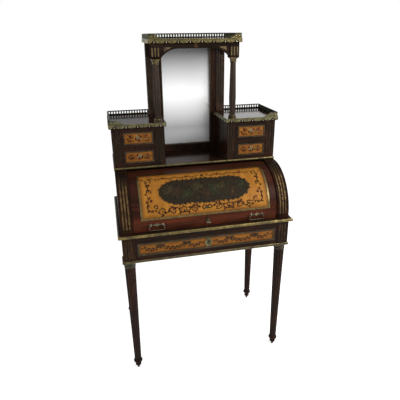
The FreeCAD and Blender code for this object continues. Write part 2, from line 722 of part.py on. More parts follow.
def cylinder_panel():
    """Curved brass frame and the painted panel inside it."""
    floor = LID_OUTER - RECESS_DEPTH + SEAT
    half = LID_HALF - LID_FRAME_MARGIN
    per_mm = math.degrees(1 / LID_OUTER)

    def patch(inset, low, high):
        angle = inset * per_mm
        start = LID_FRAME_START + angle
        end = LID_FRAME_END - angle
        return ring_sector(low, high, start, end, inset - half, half - inset)

    proud = LID_OUTER + FRAME_PROUD
    inside = LID_FRAME_WIDTH + SEAT
    frame = patch(SEAT, floor, proud).cut(patch(inside, floor - CUT_PAST, proud + CUT_PAST))
    panel = patch(inside + SEAT, floor, LID_OUTER - PANEL_SUNK)
    return frame, panel


def cylinder_arm():
    """Right-hand fan-shaped arm that carries the shutter, with its hub and pivot pin."""
    reach = LID_INNER - SEAT
    x1 = LID_HALF
    x0 = x1 - ARM_THICKNESS
    middle = (ARM_START + ARM_END) / 2
    steps = [(PIVOT_Y, PIVOT_Z), polar(reach, ARM_START), polar(reach, middle) + polar(reach, ARM_END)]
    fan = prism_x(steps, x0, x1)
    hub = rod_x(HUB_RADIUS, x0, x1, PIVOT_Y, PIVOT_Z)
    pin = rod_x(PIVOT_RADIUS, x1, INNER + PIVOT_LENGTH - RUNNING, PIVOT_Y, PIVOT_Z)
    return fan.fuse([hub, pin])


def facing_front(steps, x, y, z):
    """Turned solid whose axis points to the front, its base at y."""
    solid = lathe(steps, 0, 0)
    solid.rotate(Vector(0, 0, 0), Vector(1, 0, 0), 90)
    solid.translate(Vector(x, y, z))
    return solid


def handle_posts():
    """Right-hand pair of turned posts and the thin plate between them."""
    ball = POST_BALL_RADIUS
    stem = POST_STEM_RADIUS
    dip = math.sqrt(ball ** 2 - stem ** 2)
    steps = [(0, 0), (POST_FLANGE_RADIUS, 0), (POST_FLANGE_RADIUS, POST_FLANGE_HEIGHT),
             (stem, POST_FLANGE_HEIGHT + POST_TAPER), (stem, POST_REACH - dip),
             (ball, POST_REACH, 0, POST_REACH + ball)]
    bore = BAIL_RADIUS + PIVOT_CLEARANCE
    posts = []
    for x in (HANDLE_OFFSET - POST_SPREAD, HANDLE_OFFSET + POST_SPREAD):
        post = facing_front(steps, x, LID_FACE, HANDLE_Z)
        posts.append(post.cut(rod_x(bore, x - ball, x + ball, LID_FACE - POST_REACH, HANDLE_Z)))
    reach = POST_SPREAD - POST_FLANGE_RADIUS - SEAT
    rise = BACKPLATE_HEIGHT / 2
    tip = BACKPLATE_TIP / 2
    x0 = HANDLE_OFFSET - reach
    x1 = HANDLE_OFFSET + reach
    swell = [(x0, HANDLE_Z - tip), (HANDLE_OFFSET, HANDLE_Z - rise, x1, HANDLE_Z - tip), (x1, HANDLE_Z + tip),
             (HANDLE_OFFSET, HANDLE_Z + rise, x0, HANDLE_Z + tip)]
    plate = prism_y(swell, LID_FACE - BACKPLATE_THICKNESS, LID_FACE)
    return posts + [plate]


def drop_handle():
    """Right-hand square bail whose bent-in ends turn in the posts."""
    y = LID_FACE - POST_REACH
    wide = BAIL_HALF_WIDTH
    pin = POST_SPREAD - POST_BALL_RADIUS / 2
    low = HANDLE_Z - BAIL_DROP
    r = BAIL_BEND
    swing = r * (1 - math.sqrt(0.5))

    def at(x, z):
        return Vector(HANDLE_OFFSET + x, y, z)

    edges = [
        Part.LineSegment(at(-pin, HANDLE_Z), at(r - wide, HANDLE_Z)),
        Part.Arc(at(r - wide, HANDLE_Z), at(swing - wide, HANDLE_Z - swing), at(-wide, HANDLE_Z - r)),
        Part.LineSegment(at(-wide, HANDLE_Z - r), at(-wide, low + r)),
        Part.Arc(at(-wide, low + r), at(swing - wide, low + swing), at(r - wide, low)),
        Part.LineSegment(at(r - wide, low), at(wide - r, low)),
        Part.Arc(at(wide - r, low), at(wide - swing, low + swing), at(wide, low + r)),
        Part.LineSegment(at(wide, low + r), at(wide, HANDLE_Z - r)),
        Part.Arc(at(wide, HANDLE_Z - r), at(wide - swing, HANDLE_Z - swing), at(wide - r, HANDLE_Z)),
        Part.LineSegment(at(wide - r, HANDLE_Z), at(pin, HANDLE_Z)),
    ]
    path = Part.Wire([edge.toShape() for edge in edges])
    circle = Part.Circle(at(-pin, HANDLE_Z), Vector(1, 0, 0), BAIL_RADIUS)
    return path.makePipeShell([Part.Wire(circle.toShape())], True, False)


def cylinder_lock():
    """Shield-shaped key plate and the lock case on the inside of the shutter."""
    wide = KEY_PLATE_HALF_WIDTH
    tall = KEY_PLATE_HALF_HEIGHT
    high = KEY_Z + tall * KEY_PLATE_SWELL
    low = KEY_Z - tall * KEY_PLATE_SWELL
    steps = [(-wide / 2, low, -wide, KEY_Z), (-wide / 2, high, 0, KEY_Z + tall),
             (wide / 2, high, wide, KEY_Z), (wide / 2, low, 0, KEY_Z - tall)]
    plate = prism_y(steps, LID_FACE - ESCUTCHEON_THICKNESS, LID_FACE)
    return [keyed(plate, 0, KEY_Z, KEYHOLE_RADIUS), lock_case(0, lock_face(), KEY_Z)]


def lock_face():
    """Where the lock case meets the curved inside of the shutter."""
    top = KEY_Z + LOCK_HEIGHT / 2 - PIVOT_Z
    return PIVOT_Y - math.sqrt(LID_INNER ** 2 - top ** 2) + SEAT


def key_loop(y, inset):
    """Oval plate of the key's bow, drawn in all round by an inset."""
    wide = KEY_BOW_HALF_WIDTH - inset
    near = y - inset
    far = y - KEY_BOW_LENGTH + inset
    middle = (near + far) / 2
    waist = (near - far) / 4
    half = KEY_BOW_THICKNESS / 2
    steps = [(wide, middle + waist), (0, near, -wide, middle + waist), (-wide, middle - waist),
             (0, far, wide, middle - waist)]
    return prism_z(steps, KEY_Z - half, KEY_Z + half)


def cylinder_key():
    """Key with an open oval bow, a round stem and a bit inside the lock."""
    tip = lock_face() + LOCK_DEPTH - LOCK_WALL - RUNNING
    shoulder = LID_FACE - KEY_STEM_REACH
    stem = rod_y(KEY_STEM_RADIUS, 0, shoulder - KEY_BOW_BAND / 2, tip, KEY_Z)
    bit = board(-KEY_BIT_THICKNESS / 2, KEY_BIT_THICKNESS / 2, tip - KEY_BIT_LENGTH, tip,
                KEY_Z - KEY_BIT_REACH, KEY_Z)
    bow = key_loop(shoulder, 0.0).cut(key_loop(shoulder, KEY_BOW_BAND))
    return stem.fuse([bit, bow])


def pigeonholes():
    """Row of open compartments inside the sweep of the cylinder."""
    wide = PIGEONHOLE_HALF_WIDTH
    t = PIGEONHOLE_BOARD
    top = BED_TOP + PIGEONHOLE_HEIGHT
    reach = LID_INNER - PIGEONHOLE_CLEARANCE
    y0 = SLIDE_BACK + PIGEONHOLE_SETBACK
    y1 = PIVOT_Y + math.sqrt(reach ** 2 - (top - PIVOT_Z) ** 2)
    pitch = (2 * wide - t) / PIGEONHOLE_COUNT
    uprights = []
    for i in range(PIGEONHOLE_COUNT + 1):
        x = -wide + pitch * i
        uprights.append(board(x, x + t, y0, y1 - t, BED_TOP, top - t))
    roof = board(-wide, wide, y0, y1, top - t, top)
    back = board(-wide, wide, y1 - t, y1, BED_TOP, top - t)
    return uprights + [roof, back]


# Upper slab and drawer boxes

def upper_slab():
    """Board over the cylinder, which is also the floor of the niche."""
    edge = HALF - UPPER_EDGE_INSET
    return board(-edge, edge, UPPER_FRONT, BACK, UPPER_BOTTOM, UPPER_TOP)


def upper_moulding():
    """Brass edge of the upper slab."""
    depth = UPPER_MOULDING_DEPTH
    edge = HALF - UPPER_EDGE_INSET
    section = half_round(depth, UPPER_BOTTOM, UPPER_TOP)
    front = front_strip(section, depth, -edge, edge, UPPER_FRONT, depth, depth)
    side = side_strip(section, depth, edge, UPPER_FRONT, BACK, depth)
    return [front] + both_sides([side])


def box_case():
    """Right-hand box: fluted pilasters, walls, floor, divider and drawer guides."""
    inner, outer = NICHE_HALF_WIDTH, HALF
    behind = BOX_FRONT + PILASTER_DEPTH
    back = UPPER_BACK - BOX_BACK
    z0 = UPPER_TOP + FLUTE_MARGIN
    z1 = BOX_ROOF - FLUTE_MARGIN
    solids = []
    linings = []
    for x0, x1 in ((inner, BAY_IN), (BAY_OUT, outer)):
        post = board(x0, x1, BOX_FRONT, behind, UPPER_TOP, BOX_ROOF)
        post, brass = front_flutes(post, (x0 + x1) / 2, BOX_FRONT, z0, z1)
        solids.append(post)
        linings.extend(brass)
    solids.append(board(inner, inner + BOX_WALL, behind, back, UPPER_TOP, BOX_ROOF))
    solids.append(board(outer - BOX_WALL, outer, behind, back, UPPER_TOP, BOX_ROOF))
    solids.append(board(inner, outer, back, UPPER_BACK, UPPER_TOP, BOX_ROOF))
    solids.append(board(BAY_IN, BAY_OUT, BOX_FRONT, back, UPPER_TOP, LOWER_BAY))
    solids.append(board(BAY_IN, BAY_OUT, BOX_FRONT, back, UPPER_BAY - BOX_DIVIDER, UPPER_BAY))
    solids.append(board(BAY_IN, BAY_OUT, BOX_FRONT, behind, BOX_ROOF - BOX_TOP_RAIL, BOX_ROOF))
    for floor in (UPPER_TOP, UPPER_BAY - BOX_DIVIDER):
        rise = floor + BOX_GUIDE_HEIGHT
        solids.append(board(inner + BOX_WALL, BAY_IN, behind, back, floor, rise))
        solids.append(board(BAY_OUT, outer - BOX_WALL, behind, back, floor, rise))
    return solids, linings


def small_drawer(floor):
    """Right-hand small drawer above a floor; returns drawer solids, frame and panel."""
    x0 = BAY_IN + RUNNING
    x1 = BAY_OUT - RUNNING
    z0 = floor + RUNNING
    z1 = floor + BAY_HEIGHT - RUNNING
    thickness = SMALL_FRONT_THICKNESS
    front, frame, panel = framed_front(x0, x1, BOX_FRONT, z0, z1, thickness, SMALL_MARGIN, SMALL_FRAME_WIDTH)
    behind = BOX_FRONT + thickness
    end = UPPER_BACK - BOX_BACK - SMALL_BACK_GAP
    boards = tray(x0, x1, behind, end, z0, z1 - SMALL_TRAY_DROP, SMALL_WALL)
    return [front] + boards, frame, panel


# Galleries and scalloped edges

def lambrequin(u0, u1, top):
    """Outline of a brass band whose lower edge is cut into lobes and hanging drops."""
    low = top - LAMBREQUIN_HEIGHT
    count = max(1, round((u1 - u0) / LAMBREQUIN_PITCH))
    unit = (u1 - u0) / count
    notch = NOTCH_WIDTH / 2
    drop = DROP_WIDTH / 2
    steps = [(u0, top), (u0, low)]
    for i in range(count):
        a = u0 + unit * i
        m = a + unit / 2
        b = a + unit
        steps.append(((a + m - notch) / 2, low + LOBE_RISE / 4, m - notch, low + LOBE_RISE))
        steps.append((m - drop, low + NOTCH_HEIGHT))
        steps.append((m - drop, low + LOBE_RISE))
        steps.append((m, low, m + drop, low + LOBE_RISE))
        steps.append((m + drop, low + NOTCH_HEIGHT))
        steps.append((m + notch, low + LOBE_RISE))
        steps.append(((b + m + notch) / 2, low + LOBE_RISE / 4, b, low))
    steps.append((u1, top))
    return steps


def gallery_wires(u0, u1, z0, place):
    """Outer edge and openings of a pierced gallery between u0 and u1."""
    low = z0 + GALLERY_RAIL
    high = z0 + GALLERY_HEIGHT - GALLERY_RAIL
    waist = low + (high - low) * SPINDLE_BELLY_HEIGHT
    count = max(2, round((u1 - u0 - SPINDLE_BELLY) / SPINDLE_PITCH))
    pitch = (u1 - u0 - SPINDLE_BELLY) / count
    thin = SPINDLE_NECK / 2
    fat = SPINDLE_BELLY / 2
    outer = outline([(u0, z0), (u1, z0), (u1, high), (u0, high)], place)
    wires = [outer.OuterWire]
    for i in range(count):
        a = u0 + fat + pitch * i
        b = a + pitch
        hole = [(a + thin, low), (b - thin, low), (b - fat, waist), (b - thin, high - GALLERY_RAIL / 2),
                (a + thin, high - GALLERY_RAIL / 2), (a + fat, waist)]
        wires.append(outline(hole, place).OuterWire)
    return wires


def gallery_x(x0, x1, y, z0):
    """Pierced gallery along X with its front face at y."""
    wires = gallery_wires(x0, x1, z0, lambda x, z: Vector(x, y, z))
    fence = Part.makeFace(wires, "Part::FaceMakerBullseye").extrude(Vector(0, GALLERY_THICKNESS, 0))
    middle = y + GALLERY_THICKNESS / 2
    wide = GALLERY_RAIL_WIDTH / 2
    top = z0 + GALLERY_HEIGHT
    rail = [(middle + wide, top - GALLERY_RAIL), (middle, top, middle - wide, top - GALLERY_RAIL)]
    return fence.fuse(prism_x(rail, x0, x1))


def gallery_y(x, y0, y1, z0):
    """Pierced gallery along Y with its inner face at x."""
    wires = gallery_wires(y0, y1, z0, lambda y, z: Vector(x, y, z))
    fence = Part.makeFace(wires, "Part::FaceMakerBullseye").extrude(Vector(GALLERY_THICKNESS, 0, 0))
    middle = x + GALLERY_THICKNESS / 2
    wide = GALLERY_RAIL_WIDTH / 2
    top = z0 + GALLERY_HEIGHT
    rail = [(middle + wide, top - GALLERY_RAIL), (middle, top, middle - wide, top - GALLERY_RAIL)]
    return fence.fuse(prism_y(rail, y0, y1))


def scroll(x, y, z0):
    """Return at the front end of a gallery, rounded at the corner at x and falling from its crest in an S."""
    low = z0 + GALLERY_RAIL
    top = z0 + SCROLL_HEIGHT
    end = x - SCROLL_LENGTH
    crest = x - SCROLL_CREST
    run = crest - end
    fall = top - low
    radius = (run ** 2 + fall ** 2) / (4 * fall)
    lean = math.asin(run / 2 / radius) / 2
    out = radius * math.sin(lean)
    sag = radius * (1 - math.cos(lean))
    turn = SCROLL_ROUND
    bulge = turn * (1 - math.sqrt(0.5))
    steps = [(x, z0), (end, z0), (end, low), (end + out, low + sag, (end + crest) / 2, (low + top) / 2),
             (crest - out, top - sag, crest, top), (x - turn, top), (x - bulge, top - bulge, x, top - turn)]
    return prism_y(steps, y, y + GALLERY_THICKNESS)


def top_edges(x0, x1, y0, left_end, right_end, top):
    """Scalloped bands on the front and both ends of a top board."""
    t = LAMBREQUIN_THICKNESS
    front = prism_y(lambrequin(x0 - t, x1 + t, top), y0 - t, y0)
    right = prism_x(lambrequin(y0, right_end, top), x1, x1 + t)
    left = prism_x(lambrequin(y0, left_end, top), x0 - t, x0)
    return [front, right, left]


# Boxes' tops, columns, canopy and mirror

def box_top():
    """Right-hand top slab with its scalloped edges and its gallery."""
    x0 = NICHE_HALF_WIDTH - TOP_OVERHANG
    x1 = HALF + TOP_OVERHANG
    y0 = BOX_FRONT - TOP_OVERHANG
    notch = MIRROR_FRONT - SEAT
    plan = [(x0, y0), (x1, y0), (x1, UPPER_BACK), (NICHE_HALF_WIDTH, UPPER_BACK),
            (NICHE_HALF_WIDTH, notch), (x0, notch)]
    slab = prism_z(plan, BOX_ROOF, BOX_TOP)
    bands = top_edges(x0, x1, y0, notch, UPPER_BACK, BOX_TOP)
    return slab, bands + corner_gallery(CANOPY_HALF_WIDTH + SEAT, x1, y0, BOX_TOP)


def corner_gallery(x0, x1, y0, z):
    """Gallery along the back and the right-hand end of a top, with its front scroll."""
    t = GALLERY_THICKNESS
    inset = (GALLERY_RAIL_WIDTH - t) / 2
    x = x1 - inset - t
    y = UPPER_BACK - inset - t
    end = gallery_y(x, y0 + t, y - inset, z)
    back = gallery_x(x0, x1 - inset, y, z)
    return [end, back, scroll(x1 - inset, y0, z)]


def column():
    """Right-hand fluted column with a slight belly; returns shaft, base and capital."""
    low = BOX_TOP + COLUMN_BASE_HEIGHT
    high = FRIEZE_BOTTOM - CAPITAL_HEIGHT
    belly = low + (high - low) * COLUMN_BELLY_HEIGHT
    rings = [fluted_ring(COLUMN_X, COLUMN_Y, z, r, COLUMN_FLUTES)
             for z, r in ((low, COLUMN_FOOT_RADIUS), (belly, COLUMN_BELLY_RADIUS), (high, COLUMN_TOP_RADIUS))]
    shaft = Part.makeLoft(rings, True, True)
    foot = COLUMN_FOOT_RADIUS + COLUMN_BASE_STEP
    plinth = BOX_TOP + COLUMN_PLINTH
    torus = plinth + COLUMN_BASE_STEP
    base = [(0, BOX_TOP), (COLUMN_BASE_RADIUS, BOX_TOP), (COLUMN_BASE_RADIUS, plinth), (foot, torus),
            (foot + COLUMN_BASE_SWELL, (torus + low) / 2, foot, low), (0, low)]
    neck = COLUMN_TOP_RADIUS + NECKING_REACH
    necking = high + NECKING_HEIGHT
    abacus_z = FRIEZE_BOTTOM - ABACUS_HEIGHT
    bell = CAPITAL_RADIUS - CAPITAL_LIP
    capital = [(0, high), (neck, high), (neck + CAPITAL_LIP, (high + necking) / 2, neck, necking),
               (neck + NECKING_REACH, (necking + abacus_z) / 2, bell, abacus_z), (0, abacus_z)]
    r = CAPITAL_RADIUS
    abacus = board(COLUMN_X - r, COLUMN_X + r, COLUMN_Y - r, COLUMN_Y + r, abacus_z, FRIEZE_BOTTOM)
    return shaft, lathe(base, COLUMN_X, COLUMN_Y), lathe(capital, COLUMN_X, COLUMN_Y).fuse(abacus)


def arch(centre, half, flat):
    """Outline of an arch between two posts, level along its crown and round at its haunches."""
    crown = FRIEZE_BOTTOM + ARCH_RISE
    haunch = half - flat
    radius = (haunch ** 2 + ARCH_RISE ** 2) / (2 * ARCH_RISE)
    lean = math.atan2(ARCH_RISE, haunch)
    out = radius * math.sin(lean)
    drop = radius * (1 - math.cos(lean))
    return [(centre - half, FRIEZE_TOP), (centre - half, FRIEZE_BOTTOM),
            (centre - flat - out, crown - drop, centre - flat, crown), (centre + flat, crown),
            (centre + flat + out, crown - drop, centre + half, FRIEZE_BOTTOM), (centre + half, FRIEZE_TOP)]


def canopy_frieze():
    """Corner blocks and the three arches under the canopy; returns wood and brass."""
    half = COLUMN_BLOCK / 2
    x0 = COLUMN_X - half
    behind = CANOPY_FRONT + COLUMN_BLOCK
    block = board(x0, CANOPY_HALF_WIDTH, CANOPY_FRONT, behind, FRIEZE_BOTTOM, FRIEZE_TOP)
    z0 = FRIEZE_BOTTOM + FLUTE_FOOT_MARGIN
    z1 = FRIEZE_TOP - FLUTE_MARGIN
    block, linings = front_flutes(block, COLUMN_X, CANOPY_FRONT, z0, z1)
    face = CANOPY_FRONT + ARCH_RECESS
    front = prism_y(arch(0, x0, ARCH_FLAT), face, face + ARCH_THICKNESS)
    x1 = CANOPY_HALF_WIDTH - ARCH_RECESS
    middle = (behind + REAR_FRONT) / 2
    side = prism_x(arch(middle, (REAR_FRONT - behind) / 2, SIDE_ARCH_FLAT), x1 - ARCH_THICKNESS, x1)
    top = FRIEZE_TOP - SPANDREL_INSET
    outer = x0 - SPANDREL_INSET
    corner = [(outer, top), (outer, top - SPANDREL_HEIGHT), (outer - SPANDREL_LENGTH, top)]
    spandrel = prism_y(corner, face - INLAY_THICKNESS, face)
    crown = (FRIEZE_BOTTOM + ARCH_RISE + FRIEZE_TOP) / 2
    rosette = rod_y(ROSETTE_RADIUS, 0, face - ESCUTCHEON_THICKNESS, face, crown)
    wood = both_sides([block, side]) + [front]
    return wood, both_sides(linings + [spandrel]) + [rosette]


def canopy_top():
    """Top board of the canopy with its scalloped edges and gallery."""
    x1 = CANOPY_HALF_WIDTH + TOP_OVERHANG
    y0 = CANOPY_FRONT - TOP_OVERHANG
    slab = board(-x1, x1, y0, UPPER_BACK, FRIEZE_TOP, CANOPY_TOP)
    bands = top_edges(-x1, x1, y0, UPPER_BACK, UPPER_BACK, CANOPY_TOP)
    t = GALLERY_THICKNESS
    inset = (GALLERY_RAIL_WIDTH - t) / 2
    y = UPPER_BACK - inset - t
    back = gallery_x(inset - x1, x1 - inset, y, CANOPY_TOP)
    end = gallery_y(x1 - inset - t, y0 + t, y - inset, CANOPY_TOP)
    return slab, bands + [back] + both_sides([end, scroll(x1 - inset, y0, CANOPY_TOP)])


def rear_pilaster():
    """Right-hand pilaster beside the mirror, on a plinth; returns wood and brass."""
    x0 = CANOPY_HALF_WIDTH - COLUMN_BLOCK
    post = board(x0, CANOPY_HALF_WIDTH, REAR_FRONT, BACKBOARD_FRONT, BOX_TOP, FRIEZE_TOP)
    z0 = BOX_TOP + PLINTH_HEIGHT + FLUTE_MARGIN
    z1 = FRIEZE_TOP - FLUTE_MARGIN
    post, linings = front_flutes(post, COLUMN_X, REAR_FRONT, z0, z1)
    plinth = board(x0, CANOPY_HALF_WIDTH, REAR_FRONT - PLINTH_PROUD, REAR_FRONT,
                   BOX_TOP, BOX_TOP + PLINTH_HEIGHT)
    return post.fuse(plinth), linings


def mirror():
    """Mirror frame with its backboard, the plate and the brass bead round it."""
    wide = NICHE_HALF_WIDTH - SEAT
    open_x = MIRROR_HALF_WIDTH
    rebate = open_x + MIRROR_LAP + SEAT
    step = BACKBOARD_FRONT - MIRROR_THICKNESS - 2 * SEAT
    stile = [(open_x, MIRROR_FRONT), (wide, MIRROR_FRONT), (wide, BACKBOARD_FRONT),
             (rebate, BACKBOARD_FRONT), (rebate, step), (open_x, step)]
    stiles = both_sides([prism_z(stile, UPPER_TOP, FRIEZE_TOP)])
    lap = MIRROR_LAP + SEAT
    low = [(MIRROR_FRONT, UPPER_TOP), (BACKBOARD_FRONT, UPPER_TOP), (BACKBOARD_FRONT, MIRROR_BOTTOM - lap),
           (step, MIRROR_BOTTOM - lap), (step, MIRROR_BOTTOM), (MIRROR_FRONT, MIRROR_BOTTOM)]
    high = [(MIRROR_FRONT, FRIEZE_TOP), (BACKBOARD_FRONT, FRIEZE_TOP), (BACKBOARD_FRONT, MIRROR_TOP + lap),
            (step, MIRROR_TOP + lap), (step, MIRROR_TOP), (MIRROR_FRONT, MIRROR_TOP)]
    rails = [prism_x(low, -open_x, open_x), prism_x(high, -open_x, open_x)]
    backboard = board(-CANOPY_HALF_WIDTH, CANOPY_HALF_WIDTH, BACKBOARD_FRONT, UPPER_BACK, BOX_TOP, FRIEZE_TOP)
    lower = board(-wide, wide, BACKBOARD_FRONT, UPPER_BACK, UPPER_TOP, BOX_TOP)
    x = open_x + MIRROR_LAP
    glass = board(-x, x, step + SEAT, BACKBOARD_FRONT - SEAT,
                  MIRROR_BOTTOM - MIRROR_LAP, MIRROR_TOP + MIRROR_LAP)
    y = MIRROR_FRONT - BEAD_PROUD
    b = BEAD_WIDTH
    upright = board(open_x, open_x + b, y, MIRROR_FRONT, MIRROR_BOTTOM - b, MIRROR_TOP + b)
    beads = [board(-open_x, open_x, y, MIRROR_FRONT, MIRROR_BOTTOM - b, MIRROR_BOTTOM),
             board(-open_x, open_x, y, MIRROR_FRONT, MIRROR_TOP, MIRROR_TOP + b)]
    return stiles + rails + [backboard, lower], glass, both_sides([upright]) + beads


# Whole desk

def build_base():
    """Legs, apron, frieze drawer, slab and writing slide; returns brass linings."""
    linings = []
    for place, y, front_face in (("front", LEG_FRONT_Y, True), ("rear", LEG_REAR_Y, False)):
        solid, brass = leg(y, front_face)
        save("leg_" + place + "_right", [solid])
        save("leg_" + place + "_left", [mirrored(solid)])
        linings.extend(both_sides(brass))
    save("leg_collars", both_sides([leg_collar(LEG_FRONT_Y), leg_collar(LEG_REAR_Y)]))
    save("apron_rails", apron_rails())
    save("apron_moulding", apron_moulding())
    front, frame, panel, boards, lock = frieze_drawer()
    save("frieze_drawer_front", [front])
    save("frieze_drawer_frame", [frame])
    save("frieze_drawer_panel", [panel])
    save("frieze_drawer_tray", boards)
    save("frieze_drawer_lock", lock)
    save("desk_bed", desk_bed())
    save("desk_moulding", desk_moulding())
    slide, leather, edge = writing_slide()
    save("writing_slide", [slide])
    save("writing_leather", [leather])
    save("slide_moulding", [edge])
    return linings


def build_cylinder():
    """Cheeks, case back, cylinder with its fittings, and pigeonholes; returns brass linings."""
    solid, linings = cheek()
    save("cheek_right", [solid])
    save("cheek_left", [mirrored(solid)])
    save("case_back", [case_back()])
    save("cylinder_shell", [cylinder_shell()])
    frame, panel = cylinder_panel()
    save("cylinder_frame", [frame])
    save("cylinder_panel", [panel])
    save("cylinder_arms", both_sides([cylinder_arm()]))
    save("handle_posts", both_sides(handle_posts()))
    bail = drop_handle()
    save("handle_right", [bail])
    save("handle_left", [mirrored(bail)])
    save("cylinder_lock", cylinder_lock())
    save("cylinder_key", [cylinder_key()])
    save("pigeonholes", pigeonholes())
    return both_sides(linings)


def build_boxes():
    """Upper slab, the two drawer boxes and their drawers; returns brass linings."""
    save("upper_slab", [upper_slab()])
    save("upper_moulding", upper_moulding())
    solids, linings = box_case()
    save("box_right_case", solids)
    save("box_left_case", [mirrored(solid) for solid in solids])
    for level, floor in (("lower", LOWER_BAY), ("upper", UPPER_BAY)):
        drawer, frame, panel = small_drawer(floor)
        for part, pieces in (("", drawer), ("_frame", [frame]), ("_panel", [panel])):
            save("drawer_right_" + level + part, pieces)
            save("drawer_left_" + level + part, [mirrored(piece) for piece in pieces])
    slab, brass = box_top()
    save("box_tops", both_sides([slab]))
    save("box_galleries", both_sides(brass))
    return both_sides(linings)


def build_canopy():
    """Columns, canopy and mirror; returns brass linings."""
    shaft, base, capital = column()
    save("columns", both_sides([shaft]))
    save("column_brasses", both_sides([base, capital]))
    wood, inlays = canopy_frieze()
    save("canopy_frieze", wood)
    save("canopy_inlays", inlays)
    slab, brass = canopy_top()
    save("canopy_top", [slab])
    save("canopy_gallery", brass)
    post, linings = rear_pilaster()
    save("rear_pilasters", both_sides([post]))
    frame, glass, beads = mirror()
    save("mirror_frame", frame)
    save("mirror_glass", [glass])
    save("mirror_bead", beads)
    return both_sides(linings)


def main():
    """Build and write every piece of the desk."""
    os.makedirs("parts", exist_ok=True)
    save("flute_linings", build_base() + build_cylinder() + build_boxes() + build_canopy())


main()
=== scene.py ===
"""Looks of a bonheur du jour: veneer, painted panels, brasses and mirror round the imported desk."""

import logging
import math
from dataclasses import dataclass, field
from enum import Enum
from typing import Callable, ClassVar, Sequence, Union

import bmesh
import bpy
from mathutils import Matrix, Vector


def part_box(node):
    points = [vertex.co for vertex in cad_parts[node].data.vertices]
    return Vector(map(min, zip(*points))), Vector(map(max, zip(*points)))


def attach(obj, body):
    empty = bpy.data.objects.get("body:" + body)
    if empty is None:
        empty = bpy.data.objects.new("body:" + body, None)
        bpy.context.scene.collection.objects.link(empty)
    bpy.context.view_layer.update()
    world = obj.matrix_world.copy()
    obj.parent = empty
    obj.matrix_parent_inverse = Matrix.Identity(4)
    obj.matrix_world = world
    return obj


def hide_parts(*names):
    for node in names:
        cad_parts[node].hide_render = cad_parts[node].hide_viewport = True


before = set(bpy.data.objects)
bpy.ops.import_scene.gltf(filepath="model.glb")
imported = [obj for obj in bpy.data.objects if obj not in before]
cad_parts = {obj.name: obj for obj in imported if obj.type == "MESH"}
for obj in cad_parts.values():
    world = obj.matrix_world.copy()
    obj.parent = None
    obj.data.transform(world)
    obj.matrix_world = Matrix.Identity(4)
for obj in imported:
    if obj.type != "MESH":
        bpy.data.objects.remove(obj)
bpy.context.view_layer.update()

LOG = logging.getLogger("desk")

Material = bpy.types.Material
Mesh = bpy.types.Mesh
Node = bpy.types.Node
Socket = bpy.types.NodeSocket
Thing = bpy.types.Object
Colour = tuple[float, float, float]
Spot = tuple[float, float, float]
Point = tuple[float, float]
Points = tuple[Point, ...]
Row = tuple[float, ...]
Path = list[Point]
Runs = Sequence[Sequence[Sequence[float]]]
Face = tuple[int, ...]
Value = Union[Socket, float, Sequence[float]]
Place = Callable[[float, float, float], Vector]
Width = Callable[[float], float]

CURL_END = 0.25  # share of a curl's radius left at its end
SMALL_SIDES = 8  # sides of small round things
FOOT_SIDES = 24  # sides of a turned foot


class Side(Enum):
    """Left and right half of the desk."""

    LEFT = -1
    RIGHT = 1

    def opposite(self) -> "Side":
        """The other side."""
        return Side(-self.value)

    def run(self, front: float, back: float) -> Point:
        """First and last u of a stretch of Y, on a face that looks to this side."""
        return (front, back) if self is Side.RIGHT else (-back, -front)


class Axis(Enum):
    """Axes of the desk's frame; a veneer's fibres follow one of them."""

    ACROSS = 0
    DEEP = 1
    UPRIGHT = 2


class Slot(Enum):
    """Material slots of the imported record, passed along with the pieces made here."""

    MAHOGANY = "mahogany"
    BRASS = "brass"
    PAINTED = "painted_satinwood"


class Graph:
    """Node tree that is filled node by node."""

    def __init__(self, tree: bpy.types.NodeTree) -> None:
        """Take a tree to fill."""
        self.tree = tree

    def add(self, kind: str, links: dict[str, Value] | None = None, **settings: object) -> Node:
        """Add a node, set its properties and fill its inputs.

        Args:
            kind: Blender's node type.
            links: values or sockets by input name.
            settings: properties of the node.

        Returns:
            The new node.
        """
        node = self.tree.nodes.new(kind)
        for key, value in settings.items():
            setattr(node, key, value)
        for key, value in (links or {}).items():
            self.feed(next(s for s in node.inputs if s.name == key and s.enabled), value)
        return node

    def feed(self, socket: Socket, value: Value) -> None:
        """Link a socket to another, or set its value.

        Args:
            socket: input to fill.
            value: an output socket, a number or a list of numbers.
        """
        if isinstance(value, Socket):
            self.tree.links.new(value, socket)
        elif isinstance(value, (int, float)):
            socket.default_value = value
        else:
            socket.default_value = tuple(value) + (1.0,) * (len(socket.default_value) - len(value))

    def math(self, kind: str, *operands: Value) -> Socket:
        """One arithmetic step.

        Args:
            kind: operation of the Math node.
            operands: what it works on.

        Returns:
            The result.
        """
        node = self.add("ShaderNodeMath", operation=kind)
        for socket, value in zip(node.inputs, operands):
            self.feed(socket, value)
        return node.outputs[0]

    def span(self, value: Value, low: float, high: float, start: float = 0.0, end: float = 1.0) -> Socket:
        """Carry a number from the range of low to high to that of start to end, clamped."""
        node = self.add("ShaderNodeMapRange", {"Value": value, "From Min": low, "From Max": high,
                                               "To Min": start, "To Max": end})
        return node.outputs[0]

    def seen(self) -> Socket:
        """Whether the camera sees a place, in itself, in a mirror or through glass.

        Returns:
            1 for what is seen, 0 for what only gives light.
        """
        ray = self.add("ShaderNodeLightPath")
        direct = self.math("MAXIMUM", ray.outputs["Is Camera Ray"], ray.outputs["Is Glossy Ray"])
        return self.math("MAXIMUM", direct, ray.outputs["Is Transmission Ray"])


